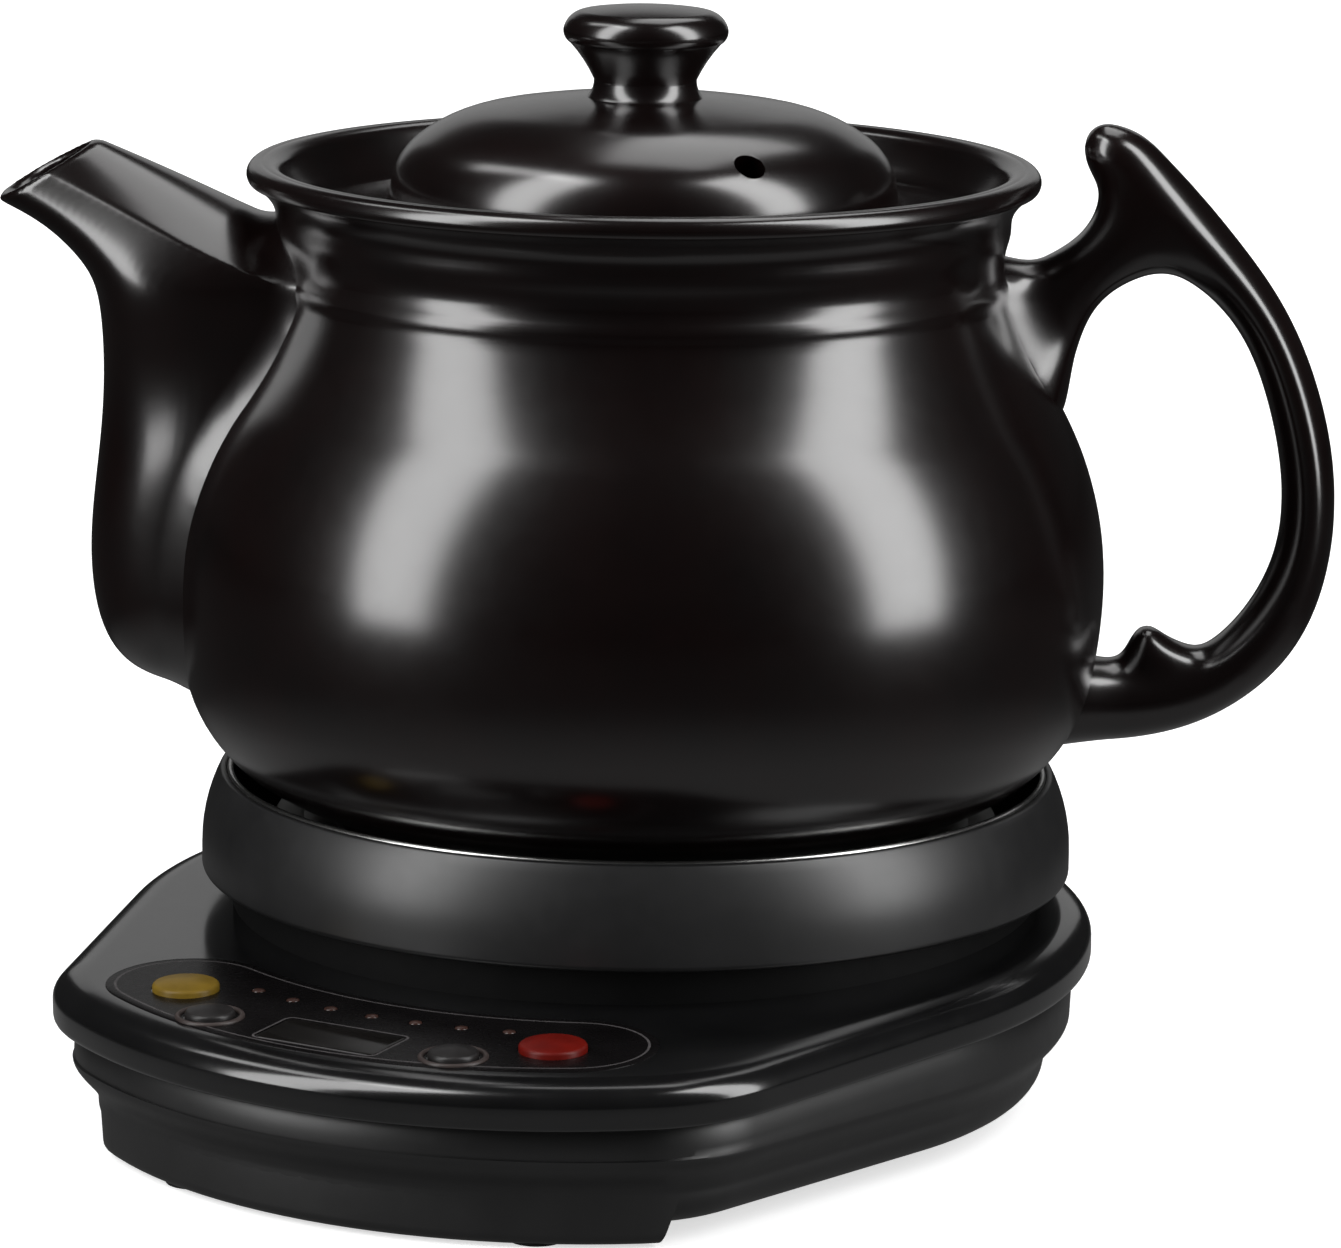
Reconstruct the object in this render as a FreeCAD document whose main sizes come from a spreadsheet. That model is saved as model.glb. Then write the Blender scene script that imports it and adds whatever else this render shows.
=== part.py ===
import FreeCAD, Part
import math
import os
from collections import namedtuple
from types import SimpleNamespace

import Sketcher

# Glazed ceramic kettle with a lift-off lid, standing in the collar of an electric heating base.
# Millimetres and degrees. +Z is up, and the origin is the middle of the outline box on the table.
# The spout points along -X and the handle along +X; the base is turned so that its panel faces
# the front left. Every piece is drawn about the upright axis of the pot.

Vector = FreeCAD.Vector
Rotation = FreeCAD.Rotation
Placement = FreeCAD.Placement

SIZES = (
    # Pot outside
    ("belly_radius", 100.5, "widest radius of the pot"),
    ("belly_rise", 53.7, "widest place of the pot above its foot"),
    ("side_drop", 22.3, "from the widest place down to the heel curve"),
    ("side_inset", 2.42, "how far the side has come in at the heel curve"),
    ("heel_curve", 33.0, "radius of the heel"),
    ("heel_rise", 5.5, "heel of the pot above its foot"),
    ("foot_radius", 66.0, "outside of the ground foot"),
    ("shoulder_rise", 38.7, "from the widest place up to the end of the shoulder"),
    ("shoulder_inset", 10.7, "how far the shoulder has come in there"),
    ("throat_curve", 100.0, "hollow curve between shoulder and neck"),
    ("throat_radius", 78.3, "outside radius under the shoulder ring"),
    ("throat_rise", 62.5, "underside of the shoulder ring above the widest place"),
    ("ring_height", 4.1, "height of the shoulder ring"),
    ("ring_curve", 2.5, "roundness of the shoulder ring"),
    ("groove_radius", 77.6, "neck radius at the lower end of the groove"),
    ("groove_height", 6.4, "height of the groove above the shoulder ring"),
    ("groove_curve", 14.0, "hollow of the groove"),
    ("rib_radius", 78.0, "neck radius at the lower end of the rib"),
    ("rib_height", 5.6, "height of the neck rib"),
    ("rib_curve", 8.0, "roundness of the neck rib"),
    ("flare_radius", 78.6, "neck radius where the rim starts to flare"),
    ("flare_height", 8.8, "height of the flared part"),
    ("flare_curve", 13.0, "hollow of the flare"),
    ("rim_radius", 84.6, "outside of the rim"),
    ("rim_width", 4.0, "width of the rim"),
    ("rim_rise", 1.2, "inner edge of the rim above the outer edge"),
    ("rim_curve", 2.3, "roundness of the rim"),
    # Pot inside
    ("pot_wall", 6.0, "wall of the pot"),
    ("pot_floor", 8.5, "floor of the pot"),
    ("gallery_radius", 56.0, "recess that the lid drops into"),
    ("gallery_rise", 77.0, "ledge that carries the lid above the widest place"),
    ("gallery_depth", 3.5, "depth of the recess"),
    ("gallery_thick", 6.0, "thickness of the ledge"),
    ("mouth_radius", 49.0, "opening inside the ledge"),
    ("strainer_radius", 3.0, "strainer hole behind the spout"),
    ("strainer_pitch", 10.0, "distance between strainer holes"),
    ("strainer_rise", 20.0, "middle strainer hole above the widest place"),
    # Spout and handle
    ("spout_wall", 4.5, "wall of the spout"),
    ("spout_width", 29.0, "half width of the spout at its root"),
    ("handle_width", 9.5, "half width of the grip"),
    # Lid and knob
    ("seat_gap", 0.3, "gap between pieces that only rest on each other"),
    ("lid_clearance", 0.7, "radial play of the lid"),
    ("lid_flange", 4.0, "thickness of the lid's flange"),
    ("lid_wall", 6.0, "wall of the lid"),
    ("lid_shoulder", 53.8, "radius where the dome leaves the flange"),
    ("lid_side_curve", 11.0, "roundness of the dome's side"),
    ("crown_radius", 131.0, "curve of the lid's crown"),
    ("crown_edge", 48.0, "radius where the crown starts"),
    ("crown_rise", 18.0, "height of the crown's edge above the lid's ledge"),
    ("skirt_depth", 6.0, "locating skirt below the ledge"),
    ("skirt_wall", 3.1, "wall of the locating skirt"),
    ("vent_radius", 2.75, "vent hole in the lid"),
    ("vent_distance", 42.0, "vent hole from the middle of the lid"),
    ("vent_angle", -60.0, "direction of the vent hole"),
    ("knob_seat", 12.6, "flat on the crown that carries the knob"),
    ("knob_waist", 11.0, "narrowest radius of the knob"),
    ("knob_waist_rise", 3.6, "height of the waist above the seat"),
    ("knob_neck", 16.2, "radius under the knob's head"),
    ("knob_neck_rise", 11.4, "height of that place above the seat"),
    ("knob_head", 17.6, "widest radius of the knob"),
    ("knob_head_rise", 14.3, "height of the widest place above the seat"),
    ("knob_top", 13.4, "radius of the knob's flat top"),
    ("knob_top_rise", 18.2, "height of the edge of the top above the seat"),
    ("knob_crown_rise", 19.2, "height of the middle of the top above the seat"),
    # Base shells
    ("base_turn", 27.0, "turn of the base about the pot's axis"),
    ("rear_margin", 10.9, "outline round the back of the base beyond the collar"),
    ("rear_shift", 14.5, "centre of that radius in front of the pot's axis"),
    ("front_reach", 146.5, "front of the lip in front of the pot's axis"),
    ("front_radius", 118.0, "outline radius of the front"),
    ("corner_radius", 42.0, "outline radius of the front corners"),
    ("corner_shift", 43.5, "centre of the front corners from the middle"),
    ("foot_height", 4.0, "rubber feet below the lower shell"),
    ("rubber_radius", 9.0, "radius of a rubber foot"),
    ("rail_height", 3.4, "front rail below the lower shell"),
    ("rail_round", 2.8, "rounded edge of that rail"),
    ("rail_share", 0.654, "start of that rail on the corner's radius"),
    ("pad_radius", 6.0, "radius of a rubber pad under the rail"),
    ("foot_front_x", 40.0, "rubber pads from the middle"),
    ("pad_inset", 26.0, "rubber pads in from the front of the lip"),
    ("foot_rear_x", 40.0, "rear feet from the middle"),
    ("foot_rear_y", 54.0, "rear feet behind the pot's axis"),
    ("lower_height", 14.5, "height of the lower tier"),
    ("lower_inset", 9.6, "lower tier in from the lip"),
    ("lower_round", 6.5, "rounded bottom edge"),
    ("upper_round", 4.0, "rounded lower edge of the upper tier"),
    ("upper_inset", 4.2, "upper tier in from the lip"),
    ("shell_wall", 2.5, "wall of both shells"),
    ("parting_height", 33.2, "underside of the lip at the pot's axis"),
    ("cover_slope", 1.9, "forward slope of the top cover"),
    ("lip_height", 8.0, "height of the rolled lip"),
    ("lip_width", 7.0, "solid width of the rolled lip"),
    ("lip_round", 5.0, "roundness of the lip's upper edge"),
    ("lip_under_round", 1.8, "roundness of the lip's lower edge"),
    ("pedestal_inset", 6.6, "pedestal in from the collar"),
    ("pedestal_top", 47.0, "height of the pedestal"),
    ("pedestal_depth", 10.5, "wall of the pedestal below its top"),
    ("heater_hole", 62.0, "hole in the pedestal's roof"),
    ("boss_distance", 73.0, "screw bosses from the pot's axis"),
    ("boss_radius", 4.5, "radius of a screw boss"),
    ("boss_seat_radius", 6.0, "seat of a boss on the lower shell"),
    ("boss_seat_height", 5.0, "height of that seat"),
    # Collar and heater
    ("collar_inset", 5.9, "collar in from the widest place of the pot"),
    ("collar_height", 21.8, "height of the collar"),
    ("collar_straight", 4.0, "straight foot of the collar"),
    ("collar_curl", 4.0, "how far the top curls in"),
    ("collar_wall", 2.4, "wall of the collar"),
    ("collar_floor", 2.5, "thickness of the collar's floor"),
    ("collar_floor_width", 10.6, "width of the collar's floor"),
    ("collar_edge_round", 1.4, "rounded bottom edge of the collar"),
    ("trim_height", 4.0, "height of the bright edge inside the collar"),
    ("trim_thick", 0.8, "thickness of the bright edge"),
    ("trim_gap", 0.15, "bright edge in from the collar"),
    ("clip_width", 12.0, "width of a locating clip"),
    ("clip_thick", 1.2, "thickness of a locating clip"),
    ("clip_height", 14.0, "height of a locating clip"),
    ("clip_inset", 6.4, "inner face of the clips in from the collar"),
    ("clip_angle", 36.0, "clips from the cross axis"),
    ("plate_radius", 79.0, "heating plate"),
    ("plate_thick", 2.5, "thickness of the heating plate"),
    ("plate_hole", 14.0, "hole in the plate for the sensor"),
    ("plate_lift", 8.5, "underside of the plate above the pedestal"),
    ("reflector_thick", 1.0, "sheet of the heat reflector"),
    ("reflector_radius", 83.0, "heat reflector"),
    ("reflector_hole", 9.0, "hole in the reflector for the sensor guide"),
    ("support_distance", 72.0, "plate supports from the pot's axis"),
    ("support_width", 12.0, "width of a plate support"),
    ("support_depth", 6.0, "depth of a plate support"),
    ("element_inner", 46.0, "inside of the heating element"),
    ("element_outer", 60.0, "outside of the heating element"),
    ("element_thick", 5.0, "thickness of the heating element"),
    ("terminal_x", 20.0, "element terminals from the middle"),
    ("terminal_y", 50.8, "element terminals behind the pot's axis"),
    ("terminal_radius", 1.8, "element terminal"),
    ("terminal_length", 10.0, "length of an element terminal"),
    ("terminal_clearance", 2.2, "radial room round an element terminal"),
    ("plunger_radius", 6.0, "stem of the sensor"),
    ("plunger_length", 15.2, "length of the sensor's stem"),
    ("plunger_cap", 11.5, "cap of the sensor"),
    ("plunger_cap_height", 3.8, "height of the sensor's cap"),
    ("plunger_bevel", 0.8, "bevel of the sensor's cap"),
    ("guide_clearance", 0.3, "radial play of the sensor in its guide"),
    ("guide_wall", 2.0, "wall of the sensor guide"),
    ("guide_flange", 15.5, "flange of the sensor guide"),
    ("guide_flange_thick", 1.5, "thickness of that flange"),
    ("guide_above", 1.5, "guide above its flange"),
    ("guide_below", 10.0, "guide below its flange"),
    ("spring_wire", 0.45, "wire radius of the sensor spring"),
    ("spring_turns", 3.0, "turns of the sensor spring"),
    ("cutout_radius", 9.0, "thermal cutout"),
    ("cutout_distance", 30.0, "thermal cutout from the pot's axis"),
    # Panel and keys
    ("panel_turn", 2.15, "turn of the panel about the pot's axis, beyond that of the base"),
    ("panel_inset", 9.0, "panel in from the front lip"),
    ("panel_gap", 4.9, "inner edge of the panel beyond the collar"),
    ("panel_spread", 23.2, "direction of the panel's ends from its middle"),
    ("panel_thick", 1.2, "thickness of the panel"),
    ("panel_recess", 1.0, "depth of the panel's recess"),
    ("panel_play", 0.2, "play round the panel"),
    ("key_play", 0.3, "play round a key"),
    ("key_x", 44.0, "large keys from the middle"),
    ("key_share", 0.329, "large keys on the panel's depth"),
    ("key_radius", 7.0, "large key"),
    ("small_key_x", 29.0, "small keys from the middle"),
    ("small_key_share", 0.697, "small keys and window on the panel's depth"),
    ("small_key_radius", 5.2, "small key"),
    ("key_proud", 1.3, "edge of a key above the panel"),
    ("key_crown", 0.7, "crown of a key above its edge"),
    ("key_flange", 1.5, "width and thickness of a key's flange"),
    ("key_stem", 2.0, "radius of a key's stem"),
    ("key_stem_length", 3.0, "stem below the key's flange"),
    ("key_gap", 0.8, "stem above its switch"),
    ("bezel_width", 1.2, "ring round a small key"),
    ("bezel_height", 0.6, "height of that ring"),
    ("bezel_gap", 0.5, "ring away from the edge of its hole"),
    ("window_width", 28.0, "display window across"),
    ("window_share", 0.368, "display window front to back on the panel's depth"),
    ("light_radius", 1.4, "indicator light"),
    ("light_share", 0.276, "arc of lights on the panel's depth"),
    ("light_step", 5.3, "angle between two lights"),
    ("light_count", 7.0, "number of lights"),
    ("board_thick", 1.6, "thickness of a circuit board"),
    ("board_inset", 3.5, "control board in from the panel's outline"),
    ("switch_width", 6.0, "key switch"),
    ("switch_height", 3.5, "body of a key switch"),
    ("switch_button", 1.7, "button radius of a key switch"),
    ("switch_button_height", 1.5, "button height of a key switch"),
    ("post_radius", 2.5, "post that carries the control board"),
    ("post_rear_x", 33.0, "rear posts from the middle"),
    ("post_rear_share", 0.053, "rear posts on the panel's depth"),
    ("post_front_x", 18.3, "front posts from the middle"),
    ("post_front_share", 0.803, "front posts on the panel's depth"),
    # Power side
    ("power_width", 92.0, "power board across"),
    ("power_depth", 62.0, "power board front to back"),
    ("power_y", 14.0, "middle of the power board behind the pot's axis"),
    ("power_height", 14.0, "underside of the power board above the table"),
    ("power_post_inset", 6.0, "posts in from the board's edges"),
    ("power_post_radius", 4.0, "post under the power board"),
    ("relay_height", 16.0, "height of the relay"),
    ("transformer_height", 20.0, "height of the transformer"),
    ("capacitor_radius", 5.0, "capacitor"),
    ("capacitor_height", 14.0, "height of a capacitor"),
    ("block_width", 50.0, "terminal block across"),
    ("block_depth", 10.0, "terminal block front to back"),
    ("block_height", 12.5, "terminal block height"),
    ("inlet_width", 31.0, "inlet socket across"),
    ("inlet_height", 19.5, "inlet socket height"),
    ("inlet_depth", 30.0, "inlet socket front to back"),
    ("inlet_middle", 24.6, "middle of the inlet above the table"),
    ("inlet_cavity_width", 24.0, "opening of the inlet across"),
    ("inlet_cavity_height", 16.0, "opening of the inlet height"),
    ("inlet_cavity_depth", 18.0, "depth of the inlet's opening"),
    ("inlet_play", 0.2, "play round the inlet"),
    ("inlet_recess", 1.8, "face of the inlet behind the rear wall"),
    ("pin_spacing", 7.0, "inlet pins apart"),
    ("pin_width", 2.0, "inlet pin across"),
    ("pin_height", 4.0, "inlet pin height"),
    ("pin_free", 14.0, "inlet pin in the opening"),
    ("pin_tail", 6.0, "inlet pin behind the socket"),
    ("lead_radius", 1.4, "insulated lead"),
    ("lead_bend", 5.0, "bend of a lead"),
    ("ribbon_width", 16.0, "ribbon between the boards"),
    ("ribbon_thick", 1.0, "thickness of the ribbon"),
    # Fasteners
    ("screw_radius", 1.5, "shank of the screws"),
    ("screw_head", 3.0, "head of the screws"),
    ("screw_head_height", 2.0, "head height of the screws"),
    ("screw_play", 0.15, "radial play of a screw"),
    ("cover_screw_length", 16.0, "shank of a cover screw"),
    ("board_screw_length", 6.0, "shank of a board screw"),
    ("heater_screw_length", 5.0, "shank of a heater screw"),
    ("heater_screw_distance", 68.0, "heater screws from the pot's axis"),
)

SECTION_POINTS = 20
SUPPORT_ANGLES = (60, 180, 300)
HEATER_SCREW_ANGLES = (0, 120, 240)
BOSS_ANGLES = (30, 150, 210, 330)
STRAINER_ANGLES = (0, 60, 120, 180, 240, 300)

# A section of the spout or the handle stands on two points of the upright middle plane. Points are
# measured outwards from the widest place of the pot and upwards from its height; width is a share
# of the half width, and squareness 2 is an ellipse. They are drawn for one belly radius and grow
# with it.
STATION_BELLY = 100.5
Station = namedtuple("Station", "out_near up_near out_far up_far width squareness")

SPOUT_STATIONS = (
    Station(-40.0, -14.0, -4.0, -26.5, 0.45, 2.0),
    Station(-40.0, 1.0, 9.6, -21.2, 0.78, 2.0),
    Station(-40.0, 20.0, 17.6, -4.0, 0.92, 2.1),
    Station(-40.0, 42.0, 17.1, 18.5, 1.0, 2.2),
    Station(-37.0, 62.0, 15.1, 42.0, 1.0, 2.4),
    Station(-26.0, 74.0, 15.8, 58.3, 0.95, 2.6),
    Station(-6.5, 82.6, 20.0, 68.0, 0.68, 2.7),
    Station(7.6, 89.0, 29.0, 75.6, 0.43, 2.5),
    Station(15.0, 92.2, 36.7, 79.4, 0.33, 2.2),
)

GRIP_STATIONS = (
    Station(-5.6, 96.2, -1.9, 98.0, 0.35, 2.0),
    Station(-6.4, 93.0, 3.5, 96.6, 0.72, 2.1),
    Station(-4.6, 87.0, 10.2, 92.0, 0.92, 2.2),
    Station(5.5, 75.5, 18.6, 84.5, 1.0, 2.3),
    Station(16.6, 65.5, 27.6, 74.0, 1.0, 2.3),
    Station(26.5, 55.6, 36.9, 61.2, 1.0, 2.3),
    Station(34.6, 37.7, 45.8, 41.4, 1.0, 2.3),
    Station(38.0, 16.8, 50.0, 17.6, 1.0, 2.3),
    Station(36.0, 3.8, 48.4, 0.0, 1.0, 2.3),
    Station(28.7, -9.1, 40.2, -18.0, 1.02, 2.3),
    Station(17.5, -17.4, 23.8, -30.6, 1.08, 2.3),
    Station(5.0, -18.8, 8.2, -35.2, 1.14, 2.3),
    Station(-12.0, -19.5, -12.0, -36.2, 1.18, 2.3),
)

ARM_STATIONS = (
    Station(-19.0, 39.0, -28.0, 67.0, 1.12, 2.2),
    Station(-11.5, 38.6, -21.5, 67.4, 1.08, 2.2),
    Station(-6.4, 50.5, -13.5, 70.6, 0.98, 2.2),
    Station(-0.8, 60.3, -7.2, 75.6, 0.92, 2.2),
    Station(8.0, 65.8, -3.0, 83.0, 0.9, 2.2),
    Station(17.0, 66.8, 4.0, 89.0, 0.88, 2.2),
)

SPUR_STATIONS = (
    Station(3.5, -24.0, 27.0, -20.8, 0.8, 2.0),
    Station(4.8, -18.6, 20.5, -16.2, 0.66, 2.0),
    Station(6.2, -14.8, 13.2, -14.0, 0.44, 2.0),
    Station(7.7, -11.8, 9.6, -11.6, 0.18, 2.0),
)


class Size:
    """A number together with the sheet expression that gives it."""

    def __init__(self, number, text):
        self.number = number
        self.text = text

    def __add__(self, other):
        other = as_size(other)
        return Size(self.number + other.number, f"({self.text} + {other.text})")

    def __radd__(self, other):
        return as_size(other) + self

    def __sub__(self, other):
        other = as_size(other)
        return Size(self.number - other.number, f"({self.text} - {other.text})")

    def __rsub__(self, other):
        return as_size(other) - self

    def __mul__(self, other):
        other = as_size(other)
        return Size(self.number * other.number, f"({self.text} * {other.text})")

    def __rmul__(self, other):
        return as_size(other) * self

    def __truediv__(self, other):
        other = as_size(other)
        return Size(self.number / other.number, f"({self.text} / {other.text})")

    def __neg__(self):
        return Size(-self.number, f"(0 - {self.text})")


def as_size(value):
    """A plain number as a size with no cell behind it."""
    if isinstance(value, Size):
        return value
    return Size(float(value), f"({float(value)!r})")


def root(value):
    """Square root of a size."""
    return Size(math.sqrt(value.number), f"sqrt({value.text})")


def sine(angle):
    """Sine of an angle in degrees, as a size."""
    angle = as_size(angle)
    return Size(math.sin(math.radians(angle.number)), f"sin({angle.text})")


def cosine(angle):
    """Cosine of an angle in degrees, as a size."""
    angle = as_size(angle)
    return Size(math.cos(math.radians(angle.number)), f"cos({angle.text})")


def tangent_curve(rise, inset):
    """Radius of an arc that starts upright and has come in by inset at the given rise."""
    return (rise * rise + inset * inset) / (2 * inset)


def fill_sheet(sheet):
    """Write the driving dimensions and return them by name."""
    named = SimpleNamespace()
    for row, (name, value, note) in enumerate(SIZES, start=1):
        sheet.set(f"A{row}", name)
        sheet.set(f"B{row}", str(value))
        sheet.set(f"C{row}", note)
        sheet.setAlias(f"B{row}", name)
        setattr(named, name, Size(float(value), f"Sizes.{name}"))
    return named


doc = FreeCAD.newDocument("ceramic_kettle")
dim = fill_sheet(doc.addObject("Spreadsheet::Sheet", "Sizes"))
doc.recompute()
pieces = []


# Heights and centres that several pieces share
station_scale = dim.belly_radius.number / STATION_BELLY
collar_radius = dim.belly_radius - dim.collar_inset
pedestal_radius = collar_radius - dim.pedestal_inset
rear_radius = collar_radius + dim.rear_margin
tier_height = dim.foot_height + dim.lower_height
floor_top = dim.foot_height + dim.shell_wall
cover_top = dim.parting_height + dim.lip_height / cosine(dim.cover_slope)
front_centre = dim.front_reach - dim.front_radius
front_gap = dim.front_radius - dim.corner_radius
corner_forward = front_centre + root(front_gap * front_gap - dim.corner_shift * dim.corner_shift)
plate_under = dim.pedestal_top + dim.plate_lift
plate_top = plate_under + dim.plate_thick
foot_level = plate_top + dim.seat_gap
belly_height = foot_level + dim.belly_rise
heel_height = foot_level + dim.heel_rise
throat_height = belly_height + dim.throat_rise
gallery_height = belly_height + dim.gallery_rise
strainer_height = belly_height + dim.strainer_rise
reflector_top = dim.pedestal_top + dim.reflector_thick
lid_level = gallery_height + dim.seat_gap
crown_level = gallery_height + dim.crown_rise
crown_centre = crown_level - root(dim.crown_radius * dim.crown_radius - dim.crown_edge * dim.crown_edge)
knob_level = crown_centre + root(dim.crown_radius * dim.crown_radius - dim.knob_seat * dim.knob_seat)
power_top = dim.power_height + dim.board_thick

# Places on the panel, in front of the pot's axis
panel_inner = collar_radius + dim.panel_gap
panel_depth = dim.front_reach - dim.panel_inset - panel_inner
key_y = panel_inner + panel_depth * dim.key_share
small_key_y = panel_inner + panel_depth * dim.small_key_share
window_depth = panel_depth * dim.window_share
light_distance = panel_inner + panel_depth * dim.light_share
post_rear_y = panel_inner + panel_depth * dim.post_rear_share
post_front_y = panel_inner + panel_depth * dim.post_front_share
pad_y = dim.front_reach - dim.pad_inset

# Heights below the sloping top of the cover
roof_under = -dim.shell_wall
key_flange_top = roof_under - dim.key_play
key_flange_under = key_flange_top - dim.key_flange
key_stem_end = key_flange_under - dim.key_stem_length
board_top = key_stem_end - dim.key_gap - dim.switch_button_height - dim.switch_height
panel_top = dim.panel_thick - dim.panel_recess

# Where the pot's axis stands in the outline box
spout_out = station_scale * max(station.out_far for station in SPOUT_STATIONS)
handle_out = station_scale * max(station.out_far for station in GRIP_STATIONS)
turn = math.radians(dim.base_turn.number)
front_extent = front_centre.number * math.cos(turn) + dim.front_radius.number
AXIS = Vector((spout_out - handle_out) / 2, (front_extent - dim.belly_radius.number) / 2, 0)
POT_FRAME = Placement(AXIS, Rotation())
BASE_FRAME = Placement(AXIS, Rotation(Vector(0, 0, 1), -dim.base_turn.number))
SLOPE = Rotation(Vector(1, 0, 0), dim.cover_slope.number)
PANEL_TURN = Rotation(Vector(0, 0, 1), -dim.panel_turn.number)
COVER_FRAME = BASE_FRAME.multiply(Placement(Vector(0, 0, cover_top.number), SLOPE.multiply(PANEL_TURN)))


def keep(piece, label):
    """Name a finished piece and put it on the list of files."""
    piece.Label = label
    pieces.append(piece)
    return piece


def new_body(name, frame):
    """Empty body standing in a frame."""
    body = doc.addObject("PartDesign::Body", name)
    body.Placement = frame
    return body


def new_sketch(body, name, role, height=0.0, rotation=None):
    """Sketch on one of the body's own planes, moved along its normal."""
    sketch = body.newObject("Sketcher::SketchObject", name)
    plane = next(item for item in body.Origin.OriginFeatures if item.Role == role)
    sketch.AttachmentSupport = [(plane, "")]
    sketch.MapMode = "FlatFace"
    height = as_size(height)
    sketch.AttachmentOffset = Placement(Vector(0, 0, height.number), rotation or Rotation())
    sketch.setExpression("AttachmentOffset.Base.z", height.text)
    return sketch


def tie(sketch, constraint, value):
    """Add a constraint and bind it to the sheet."""
    number = sketch.addConstraint(constraint)
    sketch.setExpression(f"Constraints[{number}]", value.text)


def pin_point(sketch, geometry, point, x, y):
    """Fix one point of a sketch by its two coordinates."""
    tie(sketch, Sketcher.Constraint("DistanceX", -1, 1, geometry, point, x.number), x)
    tie(sketch, Sketcher.Constraint("DistanceY", -1, 1, geometry, point, y.number), y)


def arc_between(start, finish, bend):
    """Arc shorter than half a turn; a positive bend turns left on the way."""
    chord = finish - start
    radius = abs(bend)
    offset = math.sqrt(max(radius * radius - chord.Length * chord.Length / 4, 0.0))
    left = Vector(-chord.y, chord.x, 0).normalize()
    centre = (start + finish) * 0.5 + left * (offset if bend > 0 else -offset)
    first, last = (start, finish) if bend > 0 else (finish, start)
    begin = math.atan2(first.y - centre.y, first.x - centre.x)
    end = math.atan2(last.y - centre.y, last.x - centre.x)
    return Part.ArcOfCircle(Part.Circle(centre, Vector(0, 0, 1), radius), begin, end)


def close_loop(sketch, corners):
    """Closed outline through corners (x, y) or (x, y, bend of the arc that follows)."""
    rows = [tuple(as_size(value) for value in corner) for corner in corners]
    spots = [Vector(row[0].number, row[1].number, 0) for row in rows]
    ends = []
    for index, row in enumerate(rows):
        start = spots[index]
        finish = spots[(index + 1) % len(rows)]
        if len(row) == 2:
            number = sketch.addGeometry(Part.LineSegment(start, finish), False)
            ends.append((number, 1, 2))
            continue
        bend = row[2]
        number = sketch.addGeometry(arc_between(start, finish, bend.number), False)
        ends.append((number, 1, 2) if bend.number > 0 else (number, 2, 1))
        radius = bend if bend.number > 0 else -bend
        tie(sketch, Sketcher.Constraint("Radius", number, radius.number), radius)
    for index, row in enumerate(rows):
        number, first, last = ends[index]
        following = ends[(index + 1) % len(rows)]
        sketch.addConstraint(Sketcher.Constraint("Coincident", number, last, following[0], following[1]))
        pin_point(sketch, number, first, row[0], row[1])


def add_circle(sketch, x, y, radius):
    """Circle with a bound centre and radius."""
    x, y, radius = as_size(x), as_size(y), as_size(radius)
    circle = Part.Circle(Vector(x.number, y.number, 0), Vector(0, 0, 1), radius.number)
    number = sketch.addGeometry(circle, False)
    pin_point(sketch, number, 3, x, y)
    tie(sketch, Sketcher.Constraint("Radius", number, radius.number), radius)


def add_rectangle(sketch, x, y, width, depth):
    """Rectangle about a middle point."""
    half_width = as_size(width) / 2
    half_depth = as_size(depth) / 2
    close_loop(sketch, [
        (x - half_width, y - half_depth),
        (x + half_width, y - half_depth),
        (x + half_width, y + half_depth),
        (x - half_width, y + half_depth),
    ])


def add_base_outline(sketch, inset):
    """Egg-shaped outline of the base, moved in from the lip: six tangent arcs and lines."""
    inset = as_size(inset)
    rear = rear_radius - inset
    corner = dim.corner_radius - inset
    front = dim.front_radius - inset
    shift = dim.corner_shift.number
    ahead = corner_forward.number - dim.rear_shift.number
    excess = rear_radius.number - dim.corner_radius.number
    square = shift * shift + ahead * ahead
    reach = math.sqrt(square - excess * excess)
    side = Vector((excess * shift + reach * ahead) / square, -(excess * ahead - reach * shift) / square, 0)
    nose = Vector(shift, front_centre.number - corner_forward.number, 0).normalize()
    rear_middle = Vector(0, -dim.rear_shift.number, 0)
    corner_middle = Vector(shift, -corner_forward.number, 0)
    front_middle = Vector(0, -front_centre.number, 0)
    side_angle = math.atan2(side.y, side.x)
    nose_angle = math.atan2(nose.y, nose.x)

    def mirrored(point):
        return Vector(-point.x, point.y, 0)

    def arc(middle, radius, begin, end):
        circle = Part.Circle(middle, Vector(0, 0, 1), radius.number)
        return sketch.addGeometry(Part.ArcOfCircle(circle, begin, end), False)

    side_rear = rear_middle + side * rear.number
    side_front = corner_middle + side * corner.number
    back = arc(rear_middle, rear, side_angle, math.pi - side_angle)
    left = sketch.addGeometry(Part.LineSegment(mirrored(side_rear), mirrored(side_front)), False)
    left_corner = arc(mirrored(corner_middle), corner, math.pi - side_angle, math.pi - nose_angle)
    nose_arc = arc(front_middle, front, math.pi - nose_angle, 2 * math.pi + nose_angle)
    right_corner = arc(corner_middle, corner, nose_angle, side_angle)
    right = sketch.addGeometry(Part.LineSegment(side_front, side_rear), False)
    order = (back, left, left_corner, nose_arc, right_corner, right)
    for index, number in enumerate(order):
        following = order[(index + 1) % len(order)]
        sketch.addConstraint(Sketcher.Constraint("Tangent", number, 2, following, 1))
    for number, radius in ((back, rear), (nose_arc, front), (left_corner, corner), (right_corner, corner)):
        tie(sketch, Sketcher.Constraint("Radius", number, radius.number), radius)
    for number, forward in ((back, dim.rear_shift), (nose_arc, front_centre)):
        pin_point(sketch, number, 3, as_size(0), -forward)
    for number, offset in ((right_corner, dim.corner_shift), (left_corner, -dim.corner_shift)):
        tie(sketch, Sketcher.Constraint("DistanceX", -1, 1, number, 3, offset.number), offset)


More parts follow.
